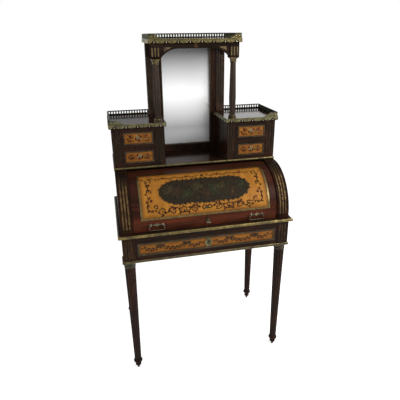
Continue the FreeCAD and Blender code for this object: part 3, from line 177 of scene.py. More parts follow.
class ShaderGraph(Graph):
    """Node tree of one finish, ending in a single Principled surface."""

    NOISE_RANGE: Point = (0.3, 0.7)  # what fractal noise mostly fills

    def __init__(self, name: str) -> None:
        """Start a tree that holds only its surface and the object coordinates.

        Args:
            name: name of the material.
        """
        self.material = bpy.data.materials.new(name)
        self.material.use_nodes = True
        super().__init__(self.material.node_tree)
        self.tree.nodes.clear()
        self.surface = self.add("ShaderNodeBsdfPrincipled")
        self.add("ShaderNodeOutputMaterial", {"Surface": self.surface.outputs["BSDF"]})
        self.coords = self.add("ShaderNodeTexCoord").outputs["Object"]

    def paint(self, **inputs: Value) -> None:
        """Fill inputs of the surface, named with underscores for spaces."""
        for key, value in inputs.items():
            self.feed(self.surface.inputs[key.replace("_", " ")], value)

    def mix(self, share: Value, first: Value, second: Value, blend: str = "MIX") -> Socket:
        """Mix two colours; the share says how much of the second shows."""
        node = self.add("ShaderNodeMix", {"Factor": share, "A": first, "B": second},
                        data_type="RGBA", blend_type=blend)
        return next(s for s in node.outputs if s.enabled)

    def ramp(self, value: Value, stops: Sequence[tuple[float, Colour]]) -> Socket:
        """Turn a number into a colour.

        Args:
            value: number from 0 to 1.
            stops: place and colour of each stop, in order.

        Returns:
            The colour.
        """
        node = self.add("ShaderNodeValToRGB")
        elements = node.color_ramp.elements
        while len(elements) < len(stops):
            elements.new(1.0)
        for element, (place, colour) in zip(elements, stops):
            element.position = place
            element.color = tuple(colour) + (1.0,)
        self.feed(node.inputs[0], value)
        return node.outputs[0]

    def axis(self, axis: Axis) -> Socket:
        """One of the object coordinates, in metres from the desk's origin."""
        return self.add("ShaderNodeSeparateXYZ", {"Vector": self.coords}).outputs[axis.value]

    def offset(self, axis: Axis, middle: float) -> Socket:
        """Distance along an axis from a middle, negative before it."""
        return self.math("SUBTRACT", self.axis(axis), middle)

    def inset(self, half: Point, across: Value, up: Value) -> Socket:
        """Distance of a place from the nearest edge of a rectangle, from its offsets to the middle."""
        gaps = [self.math("SUBTRACT", reach, self.math("ABSOLUTE", away))
                for reach, away in zip(half, (across, up))]
        return self.math("MINIMUM", *gaps)

    def noise(self, scale: float, stretch: Sequence[float] = (1.0, 1.0, 1.0), detail: float = 3.0,
              rough: float = 0.5, warp: float = 0.0) -> Socket:
        """Fractal noise on the object coordinates.

        Args:
            scale: features per metre.
            stretch: factor on each axis; a small one draws the features out.
            detail: number of finer layers.
            rough: strength of the finer layers.
            warp: distortion.

        Returns:
            Noise from 0 to 1.
        """
        place = self.add("ShaderNodeMapping", {"Vector": self.coords, "Scale": stretch})
        node = self.add("ShaderNodeTexNoise", {"Vector": place.outputs[0], "Scale": scale, "Detail": detail,
                                               "Roughness": rough, "Distortion": warp})
        return node.outputs["Fac"]

    def cells(self, scale: float, feature: str = "F1") -> Socket:
        """Distance in a pattern of cells, with so many cells per metre."""
        node = self.add("ShaderNodeTexVoronoi", {"Vector": self.coords, "Scale": scale}, feature=feature)
        return node.outputs["Distance"]

    def blend(self, first: Value, second: Value, share: float) -> Socket:
        """Mean of two numbers, with the weight of the first."""
        return self.math("ADD", self.math("MULTIPLY", first, share), self.math("MULTIPLY", second, 1 - share))

    def vary(self, noise: Value, start: float, end: float) -> Socket:
        """Carry the range that noise mostly fills to another range."""
        return self.span(noise, *self.NOISE_RANGE, start, end)

    def bump(self, height: Value, depth: float, strength: float) -> None:
        """Raise the surface's shading by a height from 0 to 1; its depth is in metres."""
        node = self.add("ShaderNodeBump", {"Height": height, "Distance": depth, "Strength": strength})
        self.feed(self.surface.inputs["Normal"], node.outputs[0])


@dataclass(frozen=True)
class ColourBand:
    """Stretch along an axis where a finish's colour is multiplied, mostly to paint highlights."""

    axis: Axis
    low: float
    high: float
    fade: float  # metres over which it starts and ends
    gain: Colour  # factor on the colour

    def apply(self, graph: ShaderGraph, colour: Value) -> Socket:
        """Change a colour inside the stretch.

        Args:
            graph: tree to build in.
            colour: colour outside the stretch.

        Returns:
            The colour everywhere.
        """
        place = graph.axis(self.axis)
        rise = graph.span(place, self.low - self.fade, self.low)
        fall = graph.span(place, self.high, self.high + self.fade, 1.0, 0.0)
        return graph.mix(graph.math("MULTIPLY", rise, fall), colour, self.gain, "MULTIPLY")


@dataclass(frozen=True)
class Veneer:
    """Polished veneer with long fibres, cloudy figure and open pores."""

    name: str
    grain: Axis
    dark: Colour = (0.0075, 0.0042, 0.0032)
    middle: Colour = (0.0200, 0.0100, 0.0066)
    warm: Colour = (0.0500, 0.0180, 0.0095)
    pore: Colour = (0.0040, 0.0020, 0.0015)
    polish: float = 0.30  # mean roughness
    shine: float = 0.05  # specular level
    streak: float = 0.5  # share of the fibres in the colour
    tone_shift: ColourBand | None = None

    def along(self, share: float) -> list[float]:
        """Factor on each axis that draws a noise out along the grain."""
        return [share if axis is self.grain else 1.0 for axis in Axis]

    def material(self) -> Material:
        """Build the material.

        Returns:
            The material.
        """
        graph = ShaderGraph(self.name)
        fibre = graph.noise(scale=170.0, stretch=self.along(0.05), detail=5.0, rough=0.62)
        figure = graph.noise(scale=13.0, stretch=self.along(0.22), detail=3.0, rough=0.55, warp=1.4)
        pores = graph.noise(scale=900.0, stretch=self.along(0.03), detail=2.0, rough=0.5)
        tone = graph.blend(fibre, figure, self.streak)
        colour = graph.ramp(tone, [(0.34, self.dark), (0.50, self.middle), (0.68, self.warm)])
        colour = graph.mix(graph.span(pores, 0.60, 0.70, 0.0, 0.65), colour, self.pore)
        if self.tone_shift:
            colour = self.tone_shift.apply(graph, colour)
        graph.paint(Base_Color=colour, Roughness=graph.vary(fibre, self.polish - 0.05, self.polish + 0.10),
                    Specular_IOR_Level=self.shine)
        graph.bump(graph.math("ADD", fibre, pores), depth=0.0002, strength=0.25)
        return graph.material


@dataclass(frozen=True)
class OldBrass:
    """Cast and rolled brass with an uneven olive patina and grime in its pits."""

    name: str
    bright: Colour
    dull: Colour
    grime: Colour = (0.022, 0.019, 0.011)
    polish: float = 0.33  # roughness where it is bright
    wear: float = 0.5  # how much of it is rubbed bright, from 0 to 1
    colour_bands: tuple[ColourBand, ...] = ()

    def material(self) -> Material:
        """Build the material.

        Returns:
            The material.
        """
        graph = ShaderGraph(self.name)
        cloud = graph.noise(scale=38.0, detail=5.0, rough=0.62, warp=0.6)
        speck = graph.noise(scale=420.0, detail=3.0, rough=0.6)
        tone = graph.blend(cloud, speck, 0.7)
        low = 0.56 - 0.2 * self.wear
        colour = graph.ramp(tone, [(low - 0.12, self.grime), (low, self.dull), (low + 0.2, self.bright)])
        for tone_shift in self.colour_bands:
            colour = tone_shift.apply(graph, colour)
        graph.paint(Base_Color=colour, Metallic=graph.span(tone, low - 0.15, low, 0.55, 1.0),
                    Roughness=graph.span(tone, low - 0.1, low + 0.2, self.polish + 0.25, self.polish))
        graph.bump(speck, depth=0.0003, strength=0.35)
        return graph.material


@dataclass(frozen=True)
class PaintedGround:
    """Golden satinwood under old varnish, brown towards its edges, with faint ribbon figure and crackle."""

    name: str
    centre: Point  # X and Z of its middle; X and an angle on the drum
    half: Point  # half its size, across and up
    axis: Point | None = None  # Y and Z of the drum's axis, if it is bent
    radius: float = 0.0  # radius of that drum
    gold: Colour = (0.420, 0.178, 0.025)
    amber: Colour = (0.265, 0.098, 0.014)
    brown: Colour = (0.120, 0.040, 0.009)

    def height(self, graph: ShaderGraph) -> Socket:
        """Distance up the panel from its middle.

        Args:
            graph: tree to build in.

        Returns:
            Metres, along the curve on a curved panel.
        """
        if self.axis is None:
            return graph.offset(Axis.UPRIGHT, self.centre[1])
        rise = graph.offset(Axis.UPRIGHT, self.axis[1])
        reach = graph.math("SUBTRACT", self.axis[0], graph.axis(Axis.DEEP))
        angle = graph.math("SUBTRACT", graph.math("ARCTAN2", rise, reach), self.centre[1])
        return graph.math("MULTIPLY", angle, self.radius)

    def material(self) -> Material:
        """Build the material.

        Returns:
            The material.
        """
        graph = ShaderGraph(self.name)
        fibre = graph.noise(scale=220.0, stretch=(0.05, 1.0, 1.0), detail=4.0, rough=0.6)
        ribbon = graph.noise(scale=30.0, stretch=(1.0, 0.25, 0.25), detail=3.0, rough=0.5, warp=0.8)
        cloud = graph.noise(scale=9.0, detail=3.0, rough=0.5)
        colour = graph.ramp(graph.blend(fibre, ribbon, 0.4), [(0.30, self.amber), (0.62, self.gold)])
        edge = graph.inset(self.half, graph.offset(Axis.ACROSS, self.centre[0]), self.height(graph))
        edge = graph.math("ADD", edge, graph.math("MULTIPLY", cloud, 0.008))
        colour = graph.mix(graph.span(edge, 0.003, 0.020, 0.75, 0.0), colour, self.brown)
        crackle = graph.span(graph.cells(420.0, "DISTANCE_TO_EDGE"), 0.0, 0.06, 0.22, 0.0)
        colour = graph.mix(crackle, colour, self.brown)
        graph.paint(Base_Color=colour, Roughness=graph.vary(cloud, 0.32, 0.46), Specular_IOR_Level=0.08)
        graph.bump(graph.math("SUBTRACT", fibre, crackle), depth=0.0002, strength=0.25)
        return graph.material


@dataclass(frozen=True)
class Paint:
    """Thin old oil paint with broken colour."""

    name: str
    light: Colour
    dark: Colour

    def material(self) -> Material:
        """Build the material.

        Returns:
            The material.
        """
        graph = ShaderGraph(self.name)
        dab = graph.noise(scale=150.0, detail=4.0, rough=0.65, warp=0.8)
        colour = graph.ramp(dab, [(0.36, self.dark), (0.64, self.light)])
        graph.paint(Base_Color=colour, Roughness=graph.vary(dab, 0.56, 0.44), Specular_IOR_Level=0.05)
        graph.bump(dab, depth=0.0003, strength=0.4)
        return graph.material


@dataclass(frozen=True)
class DryWood:
    """Plain unpolished drawer lining."""

    name: str = "dry_oak"
    light: Colour = (0.42, 0.27, 0.14)
    dark: Colour = (0.20, 0.115, 0.055)

    def material(self) -> Material:
        """Build the material.

        Returns:
            The material.
        """
        graph = ShaderGraph(self.name)
        fibre = graph.noise(scale=190.0, stretch=(1.0, 0.06, 0.5), detail=5.0, rough=0.65)
        stain = graph.noise(scale=11.0, detail=4.0, rough=0.6)
        colour = graph.ramp(graph.blend(fibre, stain, 0.6), [(0.32, self.dark), (0.64, self.light)])
        graph.paint(Base_Color=colour, Roughness=graph.vary(fibre, 0.62, 0.80), Specular_IOR_Level=0.2)
        graph.bump(fibre, depth=0.0004, strength=0.4)
        return graph.material


@dataclass(frozen=True)
class ToolLeather:
    """Worn writing leather with a gilt line tooled inside its edge."""

    name: str
    centre: Point  # X and Y of its middle
    half: Point  # half its size, across and deep
    hide: Colour = (0.060, 0.075, 0.032)
    worn: Colour = (0.125, 0.105, 0.050)
    gilt: Colour = (0.50, 0.36, 0.12)
    inset: float = 0.014  # distance of the gilt line from the edge
    line: float = 0.0016  # half the line's width

    def material(self) -> Material:
        """Build the material.

        Returns:
            The material.
        """
        graph = ShaderGraph(self.name)
        tone_shift = graph.noise(scale=12.0, detail=5.0, rough=0.6)
        colour = graph.ramp(tone_shift, [(0.38, self.hide), (0.70, self.worn)])
        edge = graph.inset(self.half, graph.offset(Axis.ACROSS, self.centre[0]),
                           graph.offset(Axis.DEEP, self.centre[1]))
        off = graph.math("ABSOLUTE", graph.math("SUBTRACT", edge, self.inset))
        tooled = graph.math("LESS_THAN", off, self.line)
        graph.paint(Base_Color=graph.mix(tooled, colour, self.gilt),
                    Metallic=graph.math("MULTIPLY", tooled, 0.8),
                    Roughness=graph.vary(tone_shift, 0.58, 0.42), Specular_IOR_Level=0.3)
        graph.bump(graph.cells(520.0), depth=0.0004, strength=0.35)
        return graph.material


@dataclass(frozen=True)
class SilveredGlass:
    """Mirror plate with a painted reflection: white a little below its middle, grey at top and foot."""

    name: str
    bottom: float  # Z of its foot
    top: float  # Z of its upper edge
    clear: Colour = (0.98, 0.98, 0.98)
    grey: Colour = (0.170, 0.170, 0.170)
    foot: Colour = (0.680, 0.680, 0.680)
    low: Colour = (0.370, 0.370, 0.370)
    foot_reach: float = 0.18  # share of the height that the painted grey at its foot takes

    def material(self) -> Material:
        """Build the material.

        Returns:
            The material.
        """
        graph = ShaderGraph(self.name)
        # painted reflection: a grey, white and grey gradient up the plate stands in for what it would reflect
        rise = graph.span(graph.axis(Axis.UPRIGHT), self.bottom, self.top)
        colour = graph.ramp(rise, [(0.0, self.foot), (self.foot_reach, self.low), (0.50, self.clear),
                                   (0.56, self.clear), (0.93, self.grey), (1.0, self.grey)])
        cloud = graph.noise(scale=30.0, detail=5.0, rough=0.6)
        graph.paint(Base_Color=colour, Metallic=graph.span(rise, 0.0, self.foot_reach, 0.45, 1.0),
                    Roughness=graph.vary(cloud, 0.27, 0.33))
        return graph.material


class Finishes:
    """Every finish of the desk that doesn't depend on a panel, built once."""

    def __init__(self) -> None:
        """Build the woods, the brasses and the paints."""
        self.build_woods()
        self.build_brasses()
        self.build_paints()

    def build_woods(self) -> None:
        """Build the veneers and the drawer lining."""
        self.upright = Veneer("veneer_upright", Axis.UPRIGHT).material()
        self.across = Veneer("veneer_across", Axis.ACROSS).material()
        self.deep = Veneer("veneer_deep", Axis.DEEP, shine=0.01).material()
        # painted sheen: columns and rear pilasters take a lighter copy of the upright veneer, with more
        # specular
        self.column = Veneer("veneer_column", Axis.UPRIGHT, middle=(0.0345, 0.0195, 0.0128),
                             warm=(0.0780, 0.0335, 0.0190), shine=0.14).material()
        self.canopy = Veneer("veneer_canopy", Axis.ACROSS, middle=(0.0220, 0.0142, 0.0108),
                             warm=(0.0440, 0.0225, 0.0145), shine=0.0).material()
        # painted highlight: the band makes the shutter's lower rail brighter and redder, as lit by the key
        # lamp
        self.shutter = Veneer("veneer_shutter", Axis.ACROSS, dark=(0.0200, 0.0068, 0.0042),
                              middle=(0.0370, 0.0112, 0.0060), warm=(0.0680, 0.0185, 0.0085), streak=0.3,
                              tone_shift=ColourBand(Axis.UPRIGHT, 0.70, 0.806, 0.035, (1.75, 1.50, 1.30))).material()
        self.polished = Veneer("veneer_polished_top", Axis.ACROSS, polish=0.09, shine=0.02).material()
        self.waxed = Veneer("veneer_waxed_slab", Axis.ACROSS, polish=0.13, shine=0.12).material()
        self.inside = Veneer("veneer_inside", Axis.ACROSS, polish=0.45).material()
        self.oak = DryWood().material()

    def build_brasses(self) -> None:
        """Build the brasses, from the mouldings to the key."""
        self.upper_brass = OldBrass("brass_moulding", (0.155, 0.122, 0.052), (0.080, 0.063, 0.028)).material()
        # painted shade and highlight: the slab's brass edge is dark as if in shade, and the band brightens
        # its front
        self.edge_brass = OldBrass("brass_slab_edge", (0.085, 0.068, 0.034), (0.042, 0.034, 0.018),
                                   colour_bands=(ColourBand(Axis.DEEP, -0.30, -0.226, 0.012, (2.5, 2.35, 1.75)),)).material()
        self.apron_brass = OldBrass("brass_apron", (0.130, 0.101, 0.051), (0.067, 0.052, 0.027)).material()
        self.post_brass = OldBrass("brass_posts", (0.165, 0.146, 0.098), (0.072, 0.062, 0.040),
                                   polish=0.24, wear=0.75).material()
        self.handle_brass = OldBrass("brass_handles", (0.150, 0.132, 0.085), (0.070, 0.061, 0.038),
                                     polish=0.26, wear=0.6).material()
        # painted shade and highlight: dark key plates and a bright wreath, for the plate's dark middle and
        # lit rim
        self.plate_brass = OldBrass("brass_key_plates", (0.120, 0.108, 0.056), (0.050, 0.045, 0.023),
                                    grime=(0.016, 0.015, 0.009), polish=0.26).material()
        self.wreath_brass = OldBrass("brass_wreath", (0.290, 0.245, 0.128), (0.118, 0.098, 0.050),
                                     polish=0.24, wear=0.7).material()
        self.lid_brass = OldBrass("brass_lid_frame", (0.195, 0.144, 0.058), (0.102, 0.075, 0.031),
                                  polish=0.26, wear=0.6).material()
        self.frame_brass = OldBrass("brass_frame", (0.084, 0.064, 0.038), (0.042, 0.032, 0.019),
                                    polish=0.30).material()
        self.cast_brass = OldBrass("brass_cast", (0.168, 0.150, 0.078), (0.084, 0.075, 0.040),
                                   polish=0.36, wear=0.8).material()
        self.canopy_brass = OldBrass("brass_canopy", (0.156, 0.127, 0.055), (0.080, 0.066, 0.030),
                                     polish=0.36, wear=0.75).material()
        # painted highlight: drops and bosses far brighter than the bands they sit on, standing for their
        # glints
        self.drop_brass = OldBrass("brass_drops", (0.62, 0.57, 0.40), (0.36, 0.32, 0.20),
                                   polish=0.26, wear=1.0).material()
        # painted shade: the box galleries' brass is kept nearly black, as if seen in shadow
        self.shaded_brass = OldBrass("brass_gallery", (0.038, 0.036, 0.023), (0.018, 0.018, 0.012),
                                   grime=(0.006, 0.006, 0.005), polish=0.40).material()
        self.fence_brass = OldBrass("brass_canopy_gallery", (0.088, 0.083, 0.050), (0.042, 0.040, 0.025),
                                    grime=(0.010, 0.010, 0.007), polish=0.38, wear=0.6).material()
        self.column_brass = OldBrass("brass_column", (0.245, 0.182, 0.080), (0.056, 0.043, 0.021),
                                     grime=(0.012, 0.010, 0.007), polish=0.22, wear=0.45).material()
        self.inlay_brass = OldBrass(
            "brass_inlay", (0.160, 0.118, 0.058), (0.085, 0.062, 0.032), polish=0.36,
            colour_bands=(ColourBand(Axis.ACROSS, -0.025, 0.025, 0.002, (0.34, 0.27, 0.25)),)).material()
        self.collar_bronze = OldBrass("bronze_collar", (0.165, 0.140, 0.092), (0.034, 0.030, 0.020),
                                      grime=(0.010, 0.009, 0.007), polish=0.24, wear=0.35).material()
        # painted shade: dark linings; painted highlights: bands at the cheeks and, weaker, at the apron
        # blocks
        self.flute_brass = OldBrass(
            "brass_flute", (0.048, 0.037, 0.022), (0.022, 0.017, 0.011), grime=(0.008, 0.006, 0.005),
            polish=0.42, wear=0.35,
            colour_bands=(ColourBand(Axis.UPRIGHT, 0.770, 0.935, 0.030, (4.2, 3.5, 2.3)),
                  ColourBand(Axis.UPRIGHT, 0.600, 0.735, 0.004, (2.1, 1.7, 1.35)))).material()
        self.key = OldBrass("key_bright_metal", (0.24, 0.22, 0.16), (0.09, 0.08, 0.055),
                            polish=0.22, wear=0.7).material()

    def build_paints(self) -> None:
        """Build the colours of the painted panels."""
        self.umber = Paint("paint_umber", (0.060, 0.024, 0.010), (0.020, 0.010, 0.006)).material()
        self.shade = Paint("paint_shade", (0.034, 0.024, 0.013), (0.012, 0.010, 0.007)).material()
        self.moss = Paint("paint_moss", (0.058, 0.044, 0.020), (0.024, 0.020, 0.011)).material()
        self.bark = Paint("paint_bark", (0.056, 0.034, 0.018), (0.022, 0.014, 0.009)).material()
        self.thicket = Paint("paint_thicket", (0.040, 0.042, 0.020), (0.016, 0.018, 0.010)).material()
        self.olive = Paint("paint_olive", (0.060, 0.066, 0.024), (0.018, 0.025, 0.011)).material()
        self.ribbon = Paint("paint_ribbon", (0.030, 0.034, 0.026), (0.010, 0.013, 0.011)).material()
        self.rose = Paint("paint_rose", (0.235, 0.040, 0.022), (0.085, 0.014, 0.009)).material()
        self.russet = Paint("paint_russet", (0.125, 0.034, 0.012), (0.055, 0.015, 0.008)).material()
        self.cream = Paint("paint_cream", (0.36, 0.26, 0.125), (0.17, 0.115, 0.050)).material()
        self.ochre = Paint("paint_ochre", (0.135, 0.080, 0.034), (0.056, 0.034, 0.016)).material()


def shares(count: int) -> list[float]:
    """Even steps from 0 to 1, both ends included."""
    return [i / count for i in range(count + 1)]


def turns(count: int) -> list[float]:
    """Angles in radians that part a full turn evenly."""
    return [math.tau * i / count for i in range(count)]


def arc(centre: Point, radius: float, start: float, end: float, count: int, shrink: float = 1.0) -> Path:
    """Points on an arc or a spiral.

    Args:
        centre: its middle.
        radius: radius at the start.
        start: first angle in degrees.
        end: last angle in degrees.
        count: number of steps.
        shrink: share of the radius left at the end.

    Returns:
        The points.
    """
    path = []
    for t in shares(count):
        turn = math.radians(start + (end - start) * t)
        r = radius * (1 + (shrink - 1) * t)
        path.append((centre[0] + r * math.cos(turn), centre[1] + r * math.sin(turn)))
    return path


def taper(width: float) -> Width:
    """Width of a stroke that swells early and runs out thin."""
    return lambda t: width * (0.35 + 0.65 * math.sin(math.pi * (t * 0.9 + 0.1)))


def mirrored(paths: Sequence[Path]) -> list[Path]:
    """The same paths on the other side of u = 0."""
    return [[(-u, v) for u, v in path] for path in paths]


def doubled(paths: list[Path]) -> list[Path]:
    """Paths, and then the same on the other side of u = 0."""
    return paths + mirrored(paths)


def shifted(paths: Sequence[Path], u: float, v: float) -> list[Path]:
    """Paths moved across and up."""
    return [[(a + u, b + v) for a, b in path] for path in paths]


def running_scroll(length: float, waves: int, rise: float) -> tuple[list[Path], list[Path]]:
    """Running scroll of a waving stem with a curl in every bend.

    Args:
        length: length along u from 0.
        waves: number of half waves.
        rise: height of the wave.

    Returns:
        The stem, and the curls.
    """
    steps = 12 * waves
    bend = length / waves
    stem = []
    for turn in (math.pi * waves * i / steps for i in range(steps + 1)):
        stem.append((bend * (turn / math.pi - 0.13 * math.sin(2 * turn)), rise * math.sin(turn)))
    curls = []
    for k in range(waves):
        up = 1 if k % 2 == 0 else -1
        middle = (bend * (k + 0.50), -up * rise * 0.15)
        branch = [(bend * (k + 0.80), up * rise * 0.60), (bend * (k + 0.85), up * rise * 0.05),
                  (bend * (k + 0.82), -up * rise * 0.45)]
        curls.append(branch + arc(middle, rise * 0.95, -42.0 * up, -430.0 * up, 18, CURL_END))
    return [stem], curls


class Relief:
    """Raised paint or chased metal in panel space: u across, v up, h off the surface."""

    SINK: float = 0.00012  # depth of a stroke's edges below the surface
    DOME_RINGS: Points = ((1.0, -0.1), (0.96, 0.35), (0.62, 0.85))  # shares of radius and rise
    PETAL_STEPS: Row = (0.12, 0.4, 0.7, 0.92, 1.05)  # shares of a flower's radius
    PETAL_TURN: float = 0.3  # angle of the first petal
    PATCH_CELLS: tuple[int, int] = (48, 10)  # cells across and up

    def __init__(self) -> None:
        """Start with nothing drawn."""
        self.points: list[Spot] = []
        self.faces: list[Face] = []
        self.finish: list[int] = []
        self.materials: list[Material] = []

    def index(self, material: Material) -> int:
        """Find a material in this piece, and add it when it is new.

        Args:
            material: the material.

        Returns:
            Its number.
        """
        if material not in self.materials:
            self.materials.append(material)
        return self.materials.index(material)

    def add(self, points: Sequence[Spot], faces: Sequence[Face], material: Material) -> None:
        """Take in a closed shape.

        Args:
            points: corners as u, v and h.
            faces: corners of each face, seen from outside.
            material: finish of the shape.
        """
        base = len(self.points)
        self.points.extend(points)
        self.faces.extend(tuple(base + i for i in face) for face in faces)
        self.finish.extend([self.index(material)] * len(faces))

    def ribbon(self, path: Path, width: Width, height: float, material: Material, base: float = 0.0,
               sink: float = SINK) -> None:
        """Draw a stroke with a raised spine and pointed ends.

        Args:
            path: places along the middle of the stroke.
            width: full width at a share of the length.
            height: rise of the spine in metres.
            material: finish of the stroke.
            base: height of the surface it lies on.
            sink: depth of its edges below that surface.
        """
        last = len(path) - 1
        points = [(path[0][0], path[0][1], base - sink)]
        for i in range(1, last):
            ahead = Vector(path[i + 1]) - Vector(path[i - 1])
            side = Vector((-ahead.y, ahead.x)).normalized() * (width(i / last) / 2)
            u, v = path[i]
            points += [(u + side.x, v + side.y, base - sink), (u, v, base + height),
                       (u - side.x, v - side.y, base - sink)]
        points.append((path[last][0], path[last][1], base - sink))
        faces: list[Face] = [(0, 2, 1), (0, 3, 2), (0, 1, 3)]
        for i in range(1, last - 1):
            left, spine, right = 3 * i - 2, 3 * i - 1, 3 * i
            faces += [(left, spine, spine + 3, left + 3), (spine, right, right + 3, spine + 3),
                      (left, left + 3, right + 3, right)]
        left, spine, right, tip = 3 * last - 5, 3 * last - 4, 3 * last - 3, 3 * last - 2
        faces += [(spine, tip, left), (right, tip, spine), (left, tip, right)]
        self.add(points, faces, material)

    def plate(self, rim: Path, low: float, high: float, material: Material) -> None:
        """Lay a flat plate with an outline that turns to the left.

        Args:
            rim: corners of the outline.
            low: height of its back.
            high: height of its face.
            material: finish of the plate.
        """
        count = len(rim)
        points = [(u, v, low) for u, v in rim] + [(u, v, high) for u, v in rim]
        faces: list[Face] = [tuple(range(count, 2 * count)), tuple(reversed(range(count)))]
        for i in range(count):
            j = (i + 1) % count
            faces.append((i, j, j + count, i + count))
        self.add(points, faces, material)

    def dome(self, centre: Point, radius: float, height: float, material: Material, base: float = 0.0,
             sides: int = 10) -> None:
        """Set a low round boss.

        Args:
            centre: its middle.
            radius: its radius.
            height: its rise.
            material: finish of the boss.
            base: height of the surface it sits on.
            sides: number of sides.
        """
        points = []
        for share, rise in self.DOME_RINGS:
            for turn in turns(sides):
                points.append((centre[0] + radius * share * math.cos(turn),
                               centre[1] + radius * share * math.sin(turn), base + height * rise))
        points.append((centre[0], centre[1], base + height))
        faces: list[Face] = [tuple(reversed(range(sides)))]
        for ring in (0, sides):
            for i in range(sides):
                j = (i + 1) % sides
                faces.append((ring + i, ring + j, ring + sides + j, ring + sides + i))
        faces += [(2 * sides + i, 2 * sides + (i + 1) % sides, 3 * sides) for i in range(sides)]
        self.add(points, faces, material)

    def flower(self, centre: Point, radius: float, petals: int, petal: Material, heart: Material,
               height: float = 0.0004) -> None:
        """Draw a round flower.

        Args:
            centre: its middle.
            radius: reach of its petals.
            petals: number of petals.
            petal: finish of the petals.
            heart: finish of the middle.
            height: rise of the petals.
        """
        for turn in turns(petals):
            lean = turn + self.PETAL_TURN
            path = [(centre[0] + radius * share * math.cos(lean), centre[1] + radius * share * math.sin(lean))
                    for share in self.PETAL_STEPS]
            self.ribbon(path, lambda t: radius * (0.55 + 0.5 * t), height, petal)
        self.dome(centre, radius * 0.3, height * 1.4, heart, sides=7)

    def patch(self, half: float, edge: Width, centre: Point, height: float, material: Material) -> None:
        """Lay a thin skin that is even about a level line.

        Args:
            half: half its width.
            edge: half its height at a share from -1 to 1 of the half width.
            centre: its middle.
            height: rise of the skin.
            material: finish of the skin.
        """
        columns, rows = self.PATCH_CELLS
        points = []
        for level in (height, -height):
            for i in range(columns + 1):
                share = math.sin(math.pi * (i / columns - 0.5))
                for j in range(rows + 1):
                    rise = edge(share) * (-1 + 2 * j / rows)
                    points.append((centre[0] + half * share, centre[1] + rise, level))
        step = rows + 1
        below = (columns + 1) * step
        faces: list[Face] = []
        for i in range(columns):
            for j in range(rows):
                a = i * step + j
                faces.append((a, a + step, a + step + 1, a + 1))
                faces.append((below + a, below + a + 1, below + a + step + 1, below + a + step))
        rim = [i * step for i in range(columns + 1)] + [columns * step + j for j in range(1, step)]
        rim += [i * step + rows for i in range(columns - 1, -1, -1)] + list(range(rows - 1, 0, -1))
        for a, b in zip(rim, rim[1:] + rim[:1]):
            faces.append((a, below + a, below + b, b))
        self.add(points, faces, material)

    def take(self, mesh: Mesh) -> None:
        """Take in a mesh already laid out in panel space, with its finishes.

        Args:
            mesh: the mesh, which is removed.
        """
        base = len(self.points)
        slots = [self.index(material) for material in mesh.materials]
        self.points.extend(tuple(vertex.co) for vertex in mesh.vertices)
        for face in mesh.polygons:
            self.faces.append(tuple(base + i for i in face.vertices))
            self.finish.append(slots[face.material_index])
        bpy.data.meshes.remove(mesh)

    def mesh(self, name: str, place: Place) -> Mesh:
        """Bend everything drawn onto its surface.

        Args:
            name: name of the mesh.
            place: where a point of panel space lies in the desk.

        Returns:
            A mesh with the finishes set.
        """
        mesh = bpy.data.meshes.new(name)
        mesh.from_pydata([place(*point) for point in self.points], [], self.faces)
        for material in self.materials:
            mesh.materials.append(material)
        mesh.polygons.foreach_set("material_index", self.finish)
        mesh.update()
        return mesh


def turned(profile: Sequence[Point], sides: int, material: Material) -> Mesh:
    """Turn a profile about the upright axis.

    Args:
        profile: radius and height of each ring; a radius of 0 closes an end.
        sides: number of sides.
        material: finish of the turning.

    Returns:
        A closed mesh.
    """
    points: list[Spot] = [(0.0, 0.0, profile[0][1])]
    for radius, z in profile[1:-1]:
        points += [(radius * math.cos(turn), radius * math.sin(turn), z) for turn in turns(sides)]
    points.append((0.0, 0.0, profile[-1][1]))
    rings = len(profile) - 2
    last = len(points) - 1
    faces: list[Face] = []
    for i in range(sides):
        j = (i + 1) % sides
        faces.append((0, 1 + j, 1 + i))
        for k in range(rings - 1):
            a = 1 + k * sides
            faces.append((a + i, a + j, a + sides + j, a + sides + i))
        a = 1 + (rings - 1) * sides
        faces.append((a + i, a + j, last))
    relief = Relief()
    relief.add(points, faces, material)
    return relief.mesh("turned", as_drawn)


def as_drawn(u: float, v: float, h: float) -> Vector:
    """Panel space left as it is, for master shapes and for meshes that are already in place."""
    return Vector((u, v, h))


def on_front(x: float, y: float, z: float) -> Place:
    """Panel space on a face that looks to the front, with the panel's middle at x and z."""
    return lambda u, v, h: Vector((x + u, y - h, z + v))


def on_side(side: Side, x: float, z: float) -> Place:
    """Panel space on a face that looks to one side; u is Y on the right, and its mirror on the left."""
    return lambda u, v, h: Vector((side.value * (x + h), side.value * u, z + v))


def on_drum(axis: Point, radius: float, middle: float) -> Place:
    """Panel space bent round the shutter's drum.

    Args:
        axis: Y and Z of the drum's axis.
        radius: radius of the surface.
        middle: angle of the panel's middle above the level front, in radians.

    Returns:
        The place of a point of panel space.
    """

    def place(u: float, v: float, h: float) -> Vector:
        """Bend one point.

        Args:
            u: distance across.
            v: distance up the curve.
            h: distance off the surface.

        Returns:
            The point in the desk's frame.
        """
        angle = middle + v / radius
        reach = radius + h
        return Vector((u, axis[0] - reach * math.cos(angle), axis[1] + reach * math.sin(angle)))

    return place


